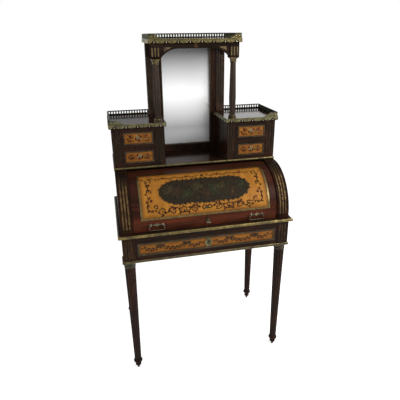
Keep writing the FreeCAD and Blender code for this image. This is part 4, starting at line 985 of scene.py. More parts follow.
class NodeTree(Graph):
    """Geometry Nodes tree with named inputs that ends in Realize Instances and Set Material."""

    def __init__(self, name: str, inputs: dict[str, str]) -> None:
        """Start a tree.

        Args:
            name: name of the tree.
            inputs: kind of each named input after the path.
        """
        super().__init__(bpy.data.node_groups.new(name, "GeometryNodeTree"))
        self.keys = {}
        self.open("Path", "Geometry")
        for label, kind in inputs.items():
            self.keys[label] = self.open(label, kind)
        self.open("Result", "Geometry", "OUTPUT")
        self.source = self.add("NodeGroupInput")

    def open(self, label: str, kind: str, way: str = "INPUT") -> str:
        """Give the tree a socket of its own, and tell its identifier."""
        socket = self.tree.interface.new_socket(name=label, in_out=way, socket_type="NodeSocket" + kind)
        return socket.identifier

    def given(self, label: str) -> Socket:
        """Socket of a named input."""
        return self.source.outputs[label]

    def close(self, geometry: Socket) -> None:
        """Finish the tree with realized instances, smooth shading and the finish.

        Args:
            geometry: what the tree has made.
        """
        real = self.add("GeometryNodeRealizeInstances", {"Geometry": geometry})
        smooth = self.add("GeometryNodeSetShadeSmooth", {"Geometry": real.outputs[0]})
        dressed = self.add("GeometryNodeSetMaterial",
                           {"Geometry": smooth.outputs[0], "Material": self.given("Finish")})
        self.add("NodeGroupOutput", {"Result": dressed.outputs[0]})

    def run(self, paths: Runs, closed: bool = False, **values: object) -> Mesh:
        """Grow the tree's result along paths.

        Args:
            paths: points of each path.
            closed: whether each path returns to its start.
            values: the named inputs.

        Returns:
            A plain mesh.
        """
        points: list[Vector] = []
        edges: list[tuple[int, int]] = []
        for path in paths:
            base = len(points)
            points += [Vector(tuple(point) + (0.0,) * (3 - len(point))) for point in path]
            edges += [(base + i, base + i + 1) for i in range(len(path) - 1)]
            if closed:
                edges.append((len(points) - 1, base))
        mesh = bpy.data.meshes.new("path")
        mesh.from_pydata(points, edges, [])
        holder = bpy.data.objects.new("path", mesh)
        bpy.context.scene.collection.objects.link(holder)
        modifier = holder.modifiers.new("nodes", "NODES")
        modifier.node_group = self.tree
        for label, value in values.items():
            modifier[self.keys[label]] = value
        graph = bpy.context.evaluated_depsgraph_get()
        result = bpy.data.meshes.new_from_object(holder.evaluated_get(graph))
        bpy.data.objects.remove(holder)
        bpy.data.meshes.remove(mesh)
        return result


class RowTree(NodeTree):
    """Sets one piece again and again along a path, turned to it and splayed to left and right in turn."""

    def __init__(self) -> None:
        """Build the tree."""
        super().__init__("row_along_path", {
            "Piece": "Object", "Spacing": "Float", "Splay": "Float", "Smallest": "Float", "Largest": "Float",
            "Seed": "Int", "Finish": "Material"})
        curve = self.add("GeometryNodeMeshToCurve", {"Mesh": self.given("Path")})
        points = self.add("GeometryNodeCurveToPoints",
                          {"Curve": curve.outputs[0], "Length": self.given("Spacing")}, mode="LENGTH")
        facing = self.add("FunctionNodeAlignRotationToVector", {"Vector": points.outputs["Tangent"]},
                          axis="X", pivot_axis="Z")
        odd = self.math("MODULO", self.add("GeometryNodeInputIndex").outputs[0], 2.0)
        sign = self.math("MULTIPLY_ADD", odd, 2.0, -1.0)
        angle = self.math("MULTIPLY", sign, self.given("Splay"))
        turn = self.add("FunctionNodeAxisAngleToRotation", {"Axis": (0.0, 0.0, 1.0), "Angle": angle})
        rotation = self.add("FunctionNodeRotateRotation",
                            {"Rotation": facing.outputs[0], "Rotate By": turn.outputs[0]},
                            rotation_space="LOCAL")
        size = self.add("FunctionNodeRandomValue", {
            "Min": self.given("Smallest"), "Max": self.given("Largest"), "Seed": self.given("Seed")},
            data_type="FLOAT")
        piece = self.add("GeometryNodeObjectInfo", {"Object": self.given("Piece")})
        grown = next(s for s in size.outputs if s.enabled)
        placed = self.add("GeometryNodeInstanceOnPoints", {
            "Points": points.outputs[0], "Instance": piece.outputs["Geometry"],
            "Rotation": rotation.outputs[0], "Scale": grown})
        self.close(placed.outputs[0])


class SweepTree(NodeTree):
    """Carries a round section along a path."""

    def __init__(self) -> None:
        """Build the tree."""
        super().__init__("round_section_along_path",
                         {"Radius": "Float", "Sides": "Int", "Finish": "Material"})
        curve = self.add("GeometryNodeMeshToCurve", {"Mesh": self.given("Path")})
        section = self.add("GeometryNodeCurvePrimitiveCircle",
                           {"Resolution": self.given("Sides"), "Radius": self.given("Radius")})
        tube = self.add("GeometryNodeCurveToMesh", {"Curve": curve.outputs[0], "Fill Caps": True,
                                                    "Profile Curve": section.outputs[0]})
        self.close(tube.outputs[0])


class Workshop:
    """Trees, small master shapes and helpers shared by the sub-assemblies."""

    LEAF_WIDTH: float = 0.36  # share of a leaf's length
    LEAF_STEPS: Row = (0.0, 0.2, 0.45, 0.7, 1.0)
    RIB_STEPS: Row = (0.0, 0.3, 0.65, 1.0)
    LOBE_STEPS: Row = (0.0, 0.35, 0.7, 1.0)
    LOBE_STARTS: Row = (0.15, 0.38, 0.6)  # where lobes leave a frond's rib
    LEAF_SINK: float = 0.012  # share of a leaf's length that its edges lie below the surface
    SHARP_EDGE: float = math.radians(35.0)  # edges past this angle stay sharp

    def __init__(self, finishes: Finishes) -> None:
        """Make the trees and the master shapes.

        Args:
            finishes: the desk's finishes.
        """
        self.finishes = finishes
        self.row = RowTree()
        self.sweep = SweepTree()
        self.masters: list[Thing] = []
        self.leaf = self.master("leaf", self.leaf_mesh())
        self.frond = self.master("frond", self.frond_mesh())

    def master(self, name: str, mesh: Mesh) -> Thing:
        """Keep a shape to be set in rows, until the desk is built.

        Args:
            name: name of the shape.
            mesh: its mesh.

        Returns:
            An object that is in no collection.
        """
        thing = bpy.data.objects.new("master_" + name, mesh)
        self.masters.append(thing)
        return thing

    def leaf_mesh(self) -> Mesh:
        """Leaf of unit length that grows along X.

        Returns:
            The mesh.
        """
        relief = Relief()
        path = [(t, 0.10 * math.sin(math.pi * t)) for t in self.LEAF_STEPS]
        relief.ribbon(path, lambda t: self.LEAF_WIDTH * math.sin(math.pi * t ** 0.8), 0.035,
                      self.finishes.umber, sink=self.LEAF_SINK)
        return relief.mesh("leaf", as_drawn)

    def frond_mesh(self) -> Mesh:
        """Lobed leaf of unit length that grows along X.

        Returns:
            The mesh.
        """
        relief, umber = Relief(), self.finishes.umber
        rib = [(t, 0.0) for t in self.RIB_STEPS]
        relief.ribbon(rib, lambda t: 0.24 * math.sin(math.pi * t) + 0.04, 0.045, umber, sink=self.LEAF_SINK)
        for start in self.LOBE_STARTS:
            reach = 0.42 * (1.1 - start)
            for side in Side:
                lobe = [(start + reach * t * 0.85, side.value * reach * (t - 0.25 * t * t))
                        for t in self.LOBE_STEPS]
                relief.ribbon(lobe, lambda t: 0.15 * math.sin(math.pi * t) + 0.02, 0.035, umber,
                              sink=self.LEAF_SINK)
        return relief.mesh("frond", as_drawn)

    def piece(self, name: str, meshes: Sequence[Mesh], body: str, slot: Slot,
              replaces: Sequence[str] = ()) -> None:
        """Join meshes into one finished piece that moves with a body.

        Args:
            name: name of the piece.
            meshes: its meshes, in the desk's frame.
            body: body it rides on.
            slot: not used.
            replaces: nodes it stands for.
        """
        whole = Relief()
        for mesh in meshes:
            whole.take(mesh)
        mesh = whole.mesh(name, as_drawn)
        mesh.polygons.foreach_set("use_smooth", [True] * len(mesh.polygons))
        mesh.set_sharp_from_angle(angle=self.SHARP_EDGE)
        thing = bpy.data.objects.new(name, mesh)
        bpy.context.scene.collection.objects.link(thing)
        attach(thing, body)
        if replaces:
            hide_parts(*replaces)
        LOG.info("piece %s on %s: %d faces", name, body, len(mesh.polygons))

    def leaves(self, relief: Relief, stems: Sequence[Path], piece: Thing, material: Material, spacing: float,
               sizes: Point, splay: float, seed: int, closed: bool = False) -> None:
        """Grow leaves along stems.

        Args:
            relief: drawing to add them to.
            stems: paths in panel space.
            piece: leaf to repeat.
            material: finish of the leaves.
            spacing: distance between leaves.
            sizes: smallest and largest leaf.
            splay: angle off the stem in radians.
            seed: seed of the sizes.
            closed: whether each stem returns to its start.
        """
        relief.take(self.row.run(stems, closed, Piece=piece, Spacing=spacing, Splay=splay, Smallest=sizes[0],
                                 Largest=sizes[1], Seed=seed, Finish=material))

    def repeat(self, paths: Runs, piece: Thing, material: Material, spacing: float) -> Mesh:
        """Row of a master shape along paths, at its own size."""
        return self.row.run(paths, Piece=piece, Spacing=spacing, Splay=0.0, Smallest=1.0, Largest=1.0, Seed=0,
                            Finish=material)

    def tidy(self) -> None:
        """Remove the master shapes."""
        for thing in self.masters:
            mesh = thing.data
            bpy.data.objects.remove(thing)
            bpy.data.meshes.remove(mesh)


def dress(material: Material, *nodes: str) -> None:
    """Give CAD nodes a finish.

    Args:
        material: the finish.
        nodes: names of the nodes.
    """
    for node in nodes:
        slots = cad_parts[node].data.materials
        if len(slots):
            for i in range(len(slots)):
                slots[i] = material
        else:
            slots.append(material)
        LOG.info("dressed %s in %s", node, material.name)


def extent(node: str, *axes: Axis) -> tuple[Point, Point]:
    """Middle and half size of a CAD node along two axes.

    Args:
        node: name of the node.
        axes: the two axes.

    Returns:
        Its middle, and half its size.
    """
    low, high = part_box(node)
    picked = [axis.value for axis in axes]
    return tuple((low[i] + high[i]) / 2 for i in picked), tuple((high[i] - low[i]) / 2 for i in picked)


def cut_off(node: str, level: float) -> Mesh:
    """Copy of a CAD node without what lies below a level.

    Args:
        node: name of the node.
        level: height of the cut.

    Returns:
        A closed mesh with the node's finish.
    """
    reach = 1e-6
    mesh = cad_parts[node].data.copy()
    shape = bmesh.new()
    shape.from_mesh(mesh)
    bmesh.ops.remove_doubles(shape, verts=shape.verts, dist=reach)
    whole = shape.verts[:] + shape.edges[:] + shape.faces[:]
    cut = bmesh.ops.bisect_plane(shape, geom=whole, dist=reach, plane_co=(0.0, 0.0, level),
                                 plane_no=(0.0, 0.0, 1.0), clear_inner=True)["geom_cut"]
    bmesh.ops.holes_fill(shape, edges=[edge for edge in cut if isinstance(edge, bmesh.types.BMEdge)])
    shape.to_mesh(mesh)
    shape.free()
    return mesh


@dataclass
class Shutter:
    """The revolving cylinder: veneer, brass frame, painted panel, fittings."""

    work: Workshop
    axis: Point = (-0.020, 0.771)  # Y and Z of the drum's axis
    radius: float = 0.1952  # radius of the painted face
    half: Point = (0.2858, 0.1048)  # half the panel's size, across and round the drum
    middle: float = math.radians(43.35)  # angle of the panel's middle above the level front
    cloud: Point = (0.205, 0.060)  # half the cartouche's size
    lift: float = 0.003  # height of the cartouche's middle over the panel's
    bunches: int = 9  # bunches of leaves in the cartouche
    drifts: Row = (-0.72, -0.1, 0.62)  # levels of its loose leaves
    margin: Point = (0.024, 0.0258)  # distance of the border's stems from the panel's edges
    bend: float = 0.024  # radius of the border's lower corners
    scroll: Point = (0.028, 0.192)  # start and length of the running scroll
    waves: int = 4  # half waves of the scroll
    rise: float = 0.0120  # height of its waves
    stroke: float = 0.0005  # rise of the border's strokes
    handle: Spot = (0.228, -0.2178, 0.7837)  # middle of the right handle's plate
    rosette: Point = (0.0056, 0.0019)  # radius and half thickness of the ring round the plate

    def dress(self) -> None:
        """Give the cylinder's nodes their finishes."""
        finishes = self.work.finishes
        ground = PaintedGround("painted_ground_shutter", (0.0, self.middle), self.half, self.axis,
                               self.radius)
        dress(ground.material(), "cylinder_panel")
        dress(finishes.shutter, "cylinder_shell")
        dress(finishes.deep, "cylinder_arms")
        dress(finishes.lid_brass, "cylinder_frame")
        dress(finishes.post_brass, "handle_posts")
        dress(finishes.handle_brass, "handle_left", "handle_right")
        dress(finishes.plate_brass, "cylinder_lock")
        dress(finishes.key, "cylinder_key")

    def wave(self, share: float) -> float:
        """Factor on the cartouche's height at a share of its half width."""
        return 0.95 + 0.05 * math.cos(3 * math.pi * share)

    def edge(self, share: float) -> float:
        """Half height of the cartouche at a share of its half width."""
        ends = max(0.0004, 1 - abs(share) ** 5) ** 0.5
        return self.cloud[1] * ends * self.wave(share)

    def outline(self, inset: float) -> Path:
        """Closed line inside the cartouche's edge.

        Args:
            inset: its distance from the edge.

        Returns:
            Points that turn to the left.
        """
        wide, tall = self.cloud[0] - inset, self.cloud[1] - inset
        path = []
        for turn in turns(144):
            share = math.copysign(abs(math.cos(turn)) ** 0.4, math.cos(turn))
            path.append((wide * share, self.lift + tall * math.sin(turn) * self.wave(share)))
        return path

    def drift(self, level: float) -> Path:
        """Waving line of loose leaves through the cartouche.

        Args:
            level: its mean height as a share of the cartouche's half height.

        Returns:
            Points from left to right.
        """
        path = []
        for share in (2 * t - 1 for t in shares(60)):
            rise = self.edge(share) * (level + 0.12 * math.sin(7 * share + 9 * level))
            path.append((self.cloud[0] * 0.9 * share, self.lift + rise))
        return path

    def cartouche(self, relief: Relief) -> None:
        """Draw the dark bed of leaves in the middle of the panel.

        Args:
            relief: drawing to add it to.
        """
        work, finishes = self.work, self.work.finishes
        relief.patch(self.cloud[0], self.edge, (0.0, self.lift), 0.00016, finishes.shade)
        work.leaves(relief, [self.outline(0.006)], work.leaf, finishes.shade, spacing=0.0030,
                    sizes=(0.012, 0.019), splay=1.15, seed=3, closed=True)
        work.leaves(relief, [self.outline(0.010)], work.frond, finishes.shade, spacing=0.0110,
                    sizes=(0.018, 0.026), splay=1.2, seed=4, closed=True)
        tones = (finishes.moss, finishes.bark, finishes.thicket)
        for k in range(self.bunches):
            heart = (0.041 * (k - self.bunches // 2) + 0.008 * math.sin(5 * k),
                     self.lift + 0.017 * math.sin(2.4 * k + 0.6))
            ring = arc(heart, 0.005, 0.0, 315.0, 7)
            work.leaves(relief, [ring], work.frond, tones[k % len(tones)], spacing=0.0019,
                        sizes=(0.014, 0.036), splay=1.4, seed=11 + k, closed=True)
            bloom = (heart[0] + 0.006, heart[1] - 0.005)
            relief.flower(bloom, 0.0052, 6, finishes.ochre, finishes.bark, height=0.0009)
        work.leaves(relief, [self.drift(level) for level in self.drifts], work.leaf, finishes.moss,
                    spacing=0.021, sizes=(0.010, 0.016), splay=0.8, seed=29)

    def border(self, relief: Relief) -> None:
        """Draw the scrolling foliage round the panel's edge.

        Args:
            relief: drawing to add it to.
        """
        work, umber, russet = self.work, self.work.finishes.umber, self.work.finishes.russet
        reach, level = self.half[0] - self.margin[0], self.half[1] - self.margin[1]
        start, length = self.scroll
        stem, curls = running_scroll(length, self.waves, self.rise)
        knee = arc((reach - self.bend, self.bend - level), self.bend, -100.0, 0.0, 10)
        knee += [(reach - 0.006 * math.sin(2.2 * t), self.bend - level + 0.050 * t) for t in shares(8)[1:]]
        climb = [(reach - 0.004 - 0.007 * math.sin(4.4 * t), 0.014 + (level - 0.020) * t) for t in shares(10)]
        hook = arc((reach - 0.014, 0.012), 0.0125, -40.0, 330.0, 16, CURL_END)
        crown = arc((reach - 0.019, level - 0.010), 0.0150, -10.0, 340.0, 16, CURL_END)
        foot = arc((reach - 0.034, 0.020 - level), 0.0120, -120.0, -430.0, 16, CURL_END)
        medal = arc((0.0125, -level), 0.0125, 180.0, -210.0, 18, CURL_END)
        bold = doubled(shifted(stem, start, -level) + [knee, climb])
        fine = doubled(shifted(curls, start, -level) + [hook, crown, foot, medal])
        top = [(0.016 + 0.215 * t, level + 0.0045 * math.cos(8 * math.pi * t)) for t in shares(40)]
        garland = doubled([top])
        for paths, width in ((bold, 0.0066), (fine, 0.0052), (garland, 0.0036)):
            for path in paths:
                relief.ribbon(path, taper(width), self.stroke, umber)
        for paths, leaf, spacing, sizes, seed in (
                (bold, work.frond, 0.0160, (0.015, 0.020), 5), (fine, work.leaf, 0.0115, (0.009, 0.013), 6),
                (garland, work.leaf, 0.0062, (0.010, 0.015), 7)):
            work.leaves(relief, paths, leaf, umber, spacing, sizes, splay=0.7, seed=seed)
        blooms = [(0.058, 0.014 - level, 0.0062), (0.150, 0.012 - level, 0.0062),
                  (reach - 0.019, -0.030, 0.0070), (reach - 0.016, 0.046, 0.0062),
                  (0.070, level, 0.0060), (0.178, level, 0.0060)]
        for u, v, size in blooms:
            for side in Side:
                relief.flower((side.value * u, v), size, 6, russet, umber, height=0.0006)
        relief.flower((0.0, -level), 0.0080, 8, work.finishes.olive, russet)
        relief.flower((0.0, level), 0.0080, 7, umber, russet)

    def rosettes(self) -> Mesh:
        """Make the brass rings round the handles' plates.

        Returns:
            The rings.
        """
        x, y, z = self.handle
        reach, tube = self.rosette
        ring = arc((0.0, 0.0), reach, 0.0, 345.0, 23)
        rings = [[(side.value * x + u, y, z + v) for u, v in ring] for side in Side]
        return self.work.sweep.run(rings, closed=True, Radius=tube, Sides=SMALL_SIDES,
                                   Finish=self.work.finishes.wreath_brass)

    def build(self) -> None:
        """Paint the panel, and set the rings round the handles' plates."""
        relief = Relief()
        self.cartouche(relief)
        self.border(relief)
        painting = relief.mesh("painting", on_drum(self.axis, self.radius, self.middle))
        self.work.piece("shutter_painting", [painting], "cylinder", Slot.PAINTED)
        self.work.piece("handle_rosettes", [self.rosettes()], "cylinder", Slot.BRASS)


@dataclass
class FriezeDrawer:
    """The wide drawer in the apron with its garland panel and key plate."""

    LOOP: ClassVar[Points] = (  # a loop of a bow, from its knot and back
        (0.0, 0.0), (0.0070, 0.0050), (0.0155, 0.0056), (0.0200, 0.0022), (0.0150, -0.0008),
        (0.0060, -0.0008), (0.0, 0.0))
    TAIL: ClassVar[Points] = ((0.0, 0.0), (0.0080, -0.0040), (0.0160, -0.0042), (0.0230, -0.0078))

    work: Workshop
    start: float = 0.024  # where the first swag hangs
    bows: Row = (0.100, 0.218)  # where the bows hang
    end: float = 0.292  # where the last swag ends
    hang: float = 0.0065  # height of the swags' ends
    dips: Point = (0.0140, 0.0120)  # fall of a swag that ends at a bow, and of the last one
    knot: float = 0.0095  # height of the bows
    coils: Row = (0.060, 0.158, 0.255)  # where the tendrils curl
    blooms: Points = ((0.28, 0.0050), (0.5, 0.0064), (0.72, 0.0050))  # share of a swag, radius
    rim: Point = (0.0137, 0.0177)  # half the wreath's size
    plate_front: float = 0.0035  # how far the key plate stands before the panel

    def dress(self) -> None:
        """Give the drawer's nodes their finishes."""
        finishes = self.work.finishes
        panel = extent("frieze_drawer_panel", Axis.ACROSS, Axis.UPRIGHT)
        ground = PaintedGround("painted_ground_frieze", *panel, gold=(0.310, 0.122, 0.019),
                               amber=(0.205, 0.074, 0.011))
        dress(ground.material(), "frieze_drawer_panel")
        dress(finishes.across, "frieze_drawer_front")
        dress(finishes.frame_brass, "frieze_drawer_frame")
        dress(finishes.plate_brass, "frieze_drawer_lock")
        dress(finishes.oak, "frieze_drawer_tray")

    def swag(self, first: float, last: float, share: float) -> Point:
        """Place on a swag between two hooks, at a share of the way."""
        dip = self.dips[0] if last in self.bows else self.dips[1]
        return first + (last - first) * share, self.hang - dip * 4 * share * (1 - share)

    def bow(self, relief: Relief, u: float, v: float) -> None:
        """Tie a ribbon bow.

        Args:
            relief: drawing to add it to.
            u: its place across.
            v: its place up.
        """
        silk = self.work.finishes.ribbon
        for side in Side:
            for shape, width, height in ((self.LOOP, 0.0054, 0.0006), (self.TAIL, 0.0046, 0.0005)):
                path = [(u + side.value * across, v + up) for across, up in shape]
                relief.ribbon(path, lambda t: width, height, silk)
        relief.dome((u, v), 0.0030, 0.0008, silk, sides=7)

    def garlands(self) -> Relief:
        """Draw the swags with their leaves, flowers and bows.

        Returns:
            The drawing.
        """
        work, umber = self.work, self.work.finishes.umber
        relief = Relief()
        hooks = (self.start,) + self.bows + (self.end,)
        spans = list(zip(hooks, hooks[1:]))
        swags = doubled([[self.swag(*span, t) for t in shares(16)] for span in spans])
        tendrils = doubled([arc((u, -0.009), 0.0075, 200.0, -130.0, 12, 0.3) for u in self.coils])
        for paths, height in ((swags, 0.0004), (tendrils, 0.0003)):
            for path in paths:
                relief.ribbon(path, taper(0.0026), height, umber)
        for paths, leaf, paint, spacing, sizes, splay, seed in (
                (swags, work.frond, umber, 0.0095, (0.0130, 0.0168), 0.9, 33),
                (swags, work.leaf, umber, 0.0044, (0.0108, 0.0148), 0.95, 31),
                (swags, work.leaf, work.finishes.olive, 0.0090, (0.0090, 0.0135), 0.7, 37),
                (tendrils, work.leaf, umber, 0.0060, (0.0070, 0.0100), 0.8, 41)):
            work.leaves(relief, paths, leaf, paint, spacing, sizes, splay, seed)
        for span in spans:
            for share, size in self.blooms:
                u, v = self.swag(*span, share)
                for side in Side:
                    relief.flower((side.value * u, v), size, 6, work.finishes.russet, work.finishes.cream)
        for u in self.bows:
            for side in Side:
                self.bow(relief, side.value * u, self.knot)
        return relief

    def wreath(self) -> Relief:
        """Make the brass wreath of the key plate.

        Returns:
            The wreath.
        """
        work, relief = self.work, Relief()
        ring = [(self.rim[0] * math.cos(turn), self.rim[1] * math.sin(turn)) for turn in turns(48)]
        work.leaves(relief, [ring], work.leaf, work.finishes.wreath_brass, spacing=0.0030,
                    sizes=(0.0062, 0.0070), splay=0.55, seed=2, closed=True)
        return relief

    def build(self) -> None:
        """Paint the panel and set the wreath round the key plate."""
        low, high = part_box("frieze_drawer_panel")
        middle = (low.z + high.z) / 2
        painting = self.garlands().mesh("garlands", on_front(0.0, low.y, middle))
        self.work.piece("frieze_painting", [painting], "frieze_drawer", Slot.PAINTED)
        wreath = self.wreath().mesh("wreath", on_front(0.0, low.y - self.plate_front, middle))
        self.work.piece("frieze_wreath", [wreath], "frieze_drawer", Slot.BRASS)


@dataclass
class SmallDrawers:
    """The four small drawers of the boxes with their wreath panels."""

    work: Workshop
    ring: float = 0.0152  # radius of the bunch
    buds: tuple[tuple[int, float], ...] = ((5, 0.0052), (7, 0.0048), (8, 0.0042))  # step on a stem, radius
    first_seed: int = 50  # seed of the first drawer's sprays

    def names(self) -> list[str]:
        """Names of the four drawers."""
        return [f"drawer_{side.name.lower()}_{level}" for side in Side for level in ("lower", "upper")]

    def dress(self) -> None:
        """Give the drawers' nodes their finishes."""
        finishes = self.work.finishes
        for name in self.names():
            panel = extent(name + "_panel", Axis.ACROSS, Axis.UPRIGHT)
            ground = PaintedGround("painted_ground_" + name, *panel, gold=(0.385, 0.152, 0.023),
                                   amber=(0.260, 0.090, 0.013))
            dress(ground.material(), name + "_panel")
            dress(finishes.across, name)
            dress(finishes.frame_brass, name + "_frame")

    def bunch(self, relief: Relief, lean: int, seed: int) -> None:
        """Draw the round bunch in the middle of a panel.

        Args:
            relief: drawing to add it to.
            lean: 1 or -1, which way the flowers are turned.
            seed: seed of the leaves.
        """
        work, finishes = self.work, self.work.finishes
        bed = [arc((0.0, 0.0), self.ring * 0.42, 0.0, 345.0, 23)]
        for paint, spacing, sizes, splay, number in (
                (finishes.olive, 0.0014, (0.0115, 0.0150), 1.25, seed),
                (finishes.umber, 0.0034, (0.0120, 0.0155), 1.1, seed + 9)):
            work.leaves(relief, bed, work.leaf, paint, spacing, sizes, splay, number, closed=True)
        for u, v, size, petal in (
                (-0.0030, 0.0055, 0.0085, finishes.cream), (0.0095, 0.0070, 0.0060, finishes.rose),
                (0.0030, -0.0100, 0.0062, finishes.rose), (-0.0115, -0.0030, 0.0058, finishes.russet),
                (0.0080, -0.0030, 0.0048, finishes.cream)):
            relief.flower((lean * u, v), size, 7, petal, finishes.umber, height=0.0009)

    def stems(self, lean: int) -> list[Path]:
        """Stems of the spray to the right of the bunch.

        Args:
            lean: 1 or -1, which way the spray leans.

        Returns:
            The middle, the lower and the upper stem.
        """
        main = [(0.018 + 0.031 * t, lean * (0.005 * math.sin(3.0 * t) - 0.003 * t)) for t in shares(10)]
        low = [(0.016 + 0.029 * t, -0.0068 - lean * 0.0015 - 0.0035 * math.sin(2.4 * t)) for t in shares(10)]
        high = [(0.018 + 0.023 * t, 0.0068 + lean * 0.0015 + 0.0035 * math.sin(2.0 * t)) for t in shares(10)]
        return [main, low, high]

    def spray(self, relief: Relief, stems: list[Path], leaf: Material, petal: Material, seed: int) -> None:
        """Draw the spray at one side of the bunch.

        Args:
            relief: drawing to add it to.
            stems: its stems.
            leaf: finish of its leaves.
            petal: finish of its flowers.
            seed: seed of the leaves.
        """
        work, umber = self.work, self.work.finishes.umber
        for path in stems:
            relief.ribbon(path, taper(0.0022), 0.0003, umber)
        work.leaves(relief, stems, work.leaf, leaf, spacing=0.0031, sizes=(0.0085, 0.0122), splay=0.85,
                    seed=seed)
        for path, (step, size) in zip(stems, self.buds):
            relief.flower(path[step], size, 6, petal, umber, height=0.0007)
            relief.flower(path[-1], size * 0.7, 5, petal, umber, height=0.0007)

    def build(self) -> None:
        """Paint the four panels."""
        finishes = self.work.finishes
        for number, name in enumerate(self.names()):
            relief = Relief()
            lean = 1 if number % 2 else -1
            self.bunch(relief, lean, number)
            right = self.stems(lean)
            self.spray(relief, right, finishes.olive, finishes.rose, self.first_seed + number)
            self.spray(relief, mirrored(right), finishes.umber, finishes.russet, self.first_seed + number)
            low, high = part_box(name + "_panel")
            place = on_front((low.x + high.x) / 2, low.y, (low.z + high.z) / 2)
            self.work.piece(name + "_painting", [relief.mesh("painting", place)], name, Slot.PAINTED)


@dataclass
class TopEdge:
    """Brass on a top board: scalloped bands, pierced gallery with turned balusters, and end scrolls."""

    BALUSTER: ClassVar[Points] = (  # radius and height of its rings
        (0.0, 0.0), (0.0052, 0.0), (0.0052, 0.0014), (0.0034, 0.0040), (0.0028, 0.0062), (0.0036, 0.0086),
        (0.0028, 0.0110), (0.0034, 0.0132), (0.0052, 0.0156), (0.0, 0.0156))
    BALUSTER_SLACK: ClassVar[float] = 0.9999  # keeps the last baluster of a run
    FOOT_RAIL: ClassVar[Point] = (0.0026, 0.0030)  # height over the top, and radius
    HEAD_RAIL: ClassVar[Point] = (0.0030, 0.0029)  # depth below the gallery's height, and radius
    CURLS: ClassVar[tuple[tuple[Point, float, float, float], ...]] = (  # middle, radius, degrees
        ((-0.0105, 0.0088), 0.0082, 60.0, 620.0), ((-0.0255, 0.0086), 0.0066, 120.0, -400.0))
    BEADS: ClassVar[tuple[Spot, ...]] = (  # depth below a band's upper edge, width, rise
        (0.0022, 0.0034, 0.0013), (0.0062, 0.0016, 0.0006))
    FAN: ClassVar[Row] = (8.0, 34.0, 58.0)  # lean of its leaves in degrees
    FAN_STEPS: ClassVar[Row] = (0.0, 0.35, 0.7, 1.0)
    SINK: ClassVar[float] = 0.0002  # depth of the chasing's edges below the face

    work: Workshop
    name: str
    node: str  # CAD node that it stands for
    top: float  # Z of the board's upper face
    cast: Material  # finish of the bands and the scrolls
    rails: Material  # finish of the gallery
    height: float = 0.017  # height of the bands
    pitch: float = 0.050  # length of one scallop
    thickness: float = 0.0025  # thickness of the bands
    inset: float = 0.0014  # distance of the beads from a band's ends
    lobe: float = 0.003  # rise of the lower edge towards a notch
    notch: Point = (0.018, 0.009)  # width and height of a notch
    drop: float = 0.006  # width of the drop in it
    fence: float = 0.021  # height of the gallery
    spacing: float = 0.0129  # distance between balusters
    girth: float = 1.0  # factor on their thickness
    scroll: Point = (0.062, 0.018)  # length and height of an end scroll
    scroll_tip: float = 0.003  # height of its thin end
    scroll_back: float = 0.003  # its thickness
    crest: float = 0.030  # length of its high part
    turn: float = 0.007  # radius of its corner
    meshes: list[Mesh] = field(default_factory=list)

    def wave(self, share: float) -> float:
        """Height of the lower edge at a share of the way from a lobe's foot to a notch."""
        return self.lobe * (share ** 2) * 0.9 + 0.0009 * math.sin(4 * math.pi * share)

    def outline(self, length: float) -> tuple[Path, list[float]]:
        """Lower edge of a band from left to right, with the middles of its drops.

        Args:
            length: length of the band.

        Returns:
            The points, and the middles.
        """
        count = max(1, round(length / self.pitch))
        unit = length / count
        wide, tall = self.notch[0] / 2, self.notch[1]
        run = unit / 2 - wide
        arch = [(wide, self.lobe), (wide * 0.86, tall * 0.72), (wide * 0.58, tall), (self.drop * 0.22, tall),
                (self.drop * 0.26, tall * 0.72), (self.drop * 0.5, self.lobe),
                (self.drop * 0.36, self.lobe * 0.3)]
        inner = shares(7)[1:-1]
        edge: Path = []
        middles = []
        for k in range(count):
            start = unit * k
            middle = start + unit / 2
            middles.append(middle)
            edge += [(start, 0.0)] + [(start + run * t, self.wave(t)) for t in inner]
            edge += [(middle - u, v) for u, v in arch] + [(middle, 0.0)]
            edge += [(middle + u, v) for u, v in reversed(arch)]
            edge += [(middle + wide + run * t, self.wave(1 - t)) for t in inner]
        edge.append((length, 0.0))
        return edge, middles

    def fan(self, relief: Relief, heart: float, side: Side) -> None:
        """Chase half a fan of leaves on a lobe.

        Args:
            relief: the band.
            heart: u of the fan's heart.
            side: side of the drop that the lobe lies on.
        """
        for lean in self.FAN:
            turn = math.radians(90.0 + side.value * lean)
            tip = 0.0072 - lean * 0.00002
            path = [(heart + tip * t * math.cos(turn), 0.0016 + tip * t * math.sin(turn))
                    for t in self.FAN_STEPS]
            relief.ribbon(path, lambda t: 0.0021 * math.sin(math.pi * t) + 0.0004, 0.0009, self.cast,
                          self.thickness, self.SINK)

    def band(self, start: float, end: float, place: Place) -> None:
        """Chased brass band with a scalloped lower edge.

        Args:
            start: first u.
            end: last u.
            place: panel space with v = 0 at the band's lower edge.
        """
        brass, bright, face = self.cast, self.work.finishes.drop_brass, self.thickness
        relief = Relief()
        length = end - start
        edge, middles = self.outline(length)
        rim = [(start + u, v) for u, v in edge] + [(end, self.height), (start, self.height)]
        relief.plate(rim, 0.0, face, brass)
        first, run = start + self.inset, length - 2 * self.inset
        for depth, width, rise in self.BEADS:
            bead = [(first + run * t, self.height - depth) for t in shares(12)]
            relief.ribbon(bead, lambda t: width, rise, brass, face, self.SINK)
        reach = length / len(middles) / 2 - 0.0005
        for middle in (start + m for m in middles):
            relief.dome((middle, self.lobe * 1.05), self.drop * 0.44, 0.0022, bright, face)
            relief.dome((middle, self.notch[1] * 0.86), self.drop * 0.22, 0.0014, bright, face, SMALL_SIDES)
            for side in Side:
                self.fan(relief, middle + side.value * reach, side)
        self.meshes.append(relief.mesh("band", place))

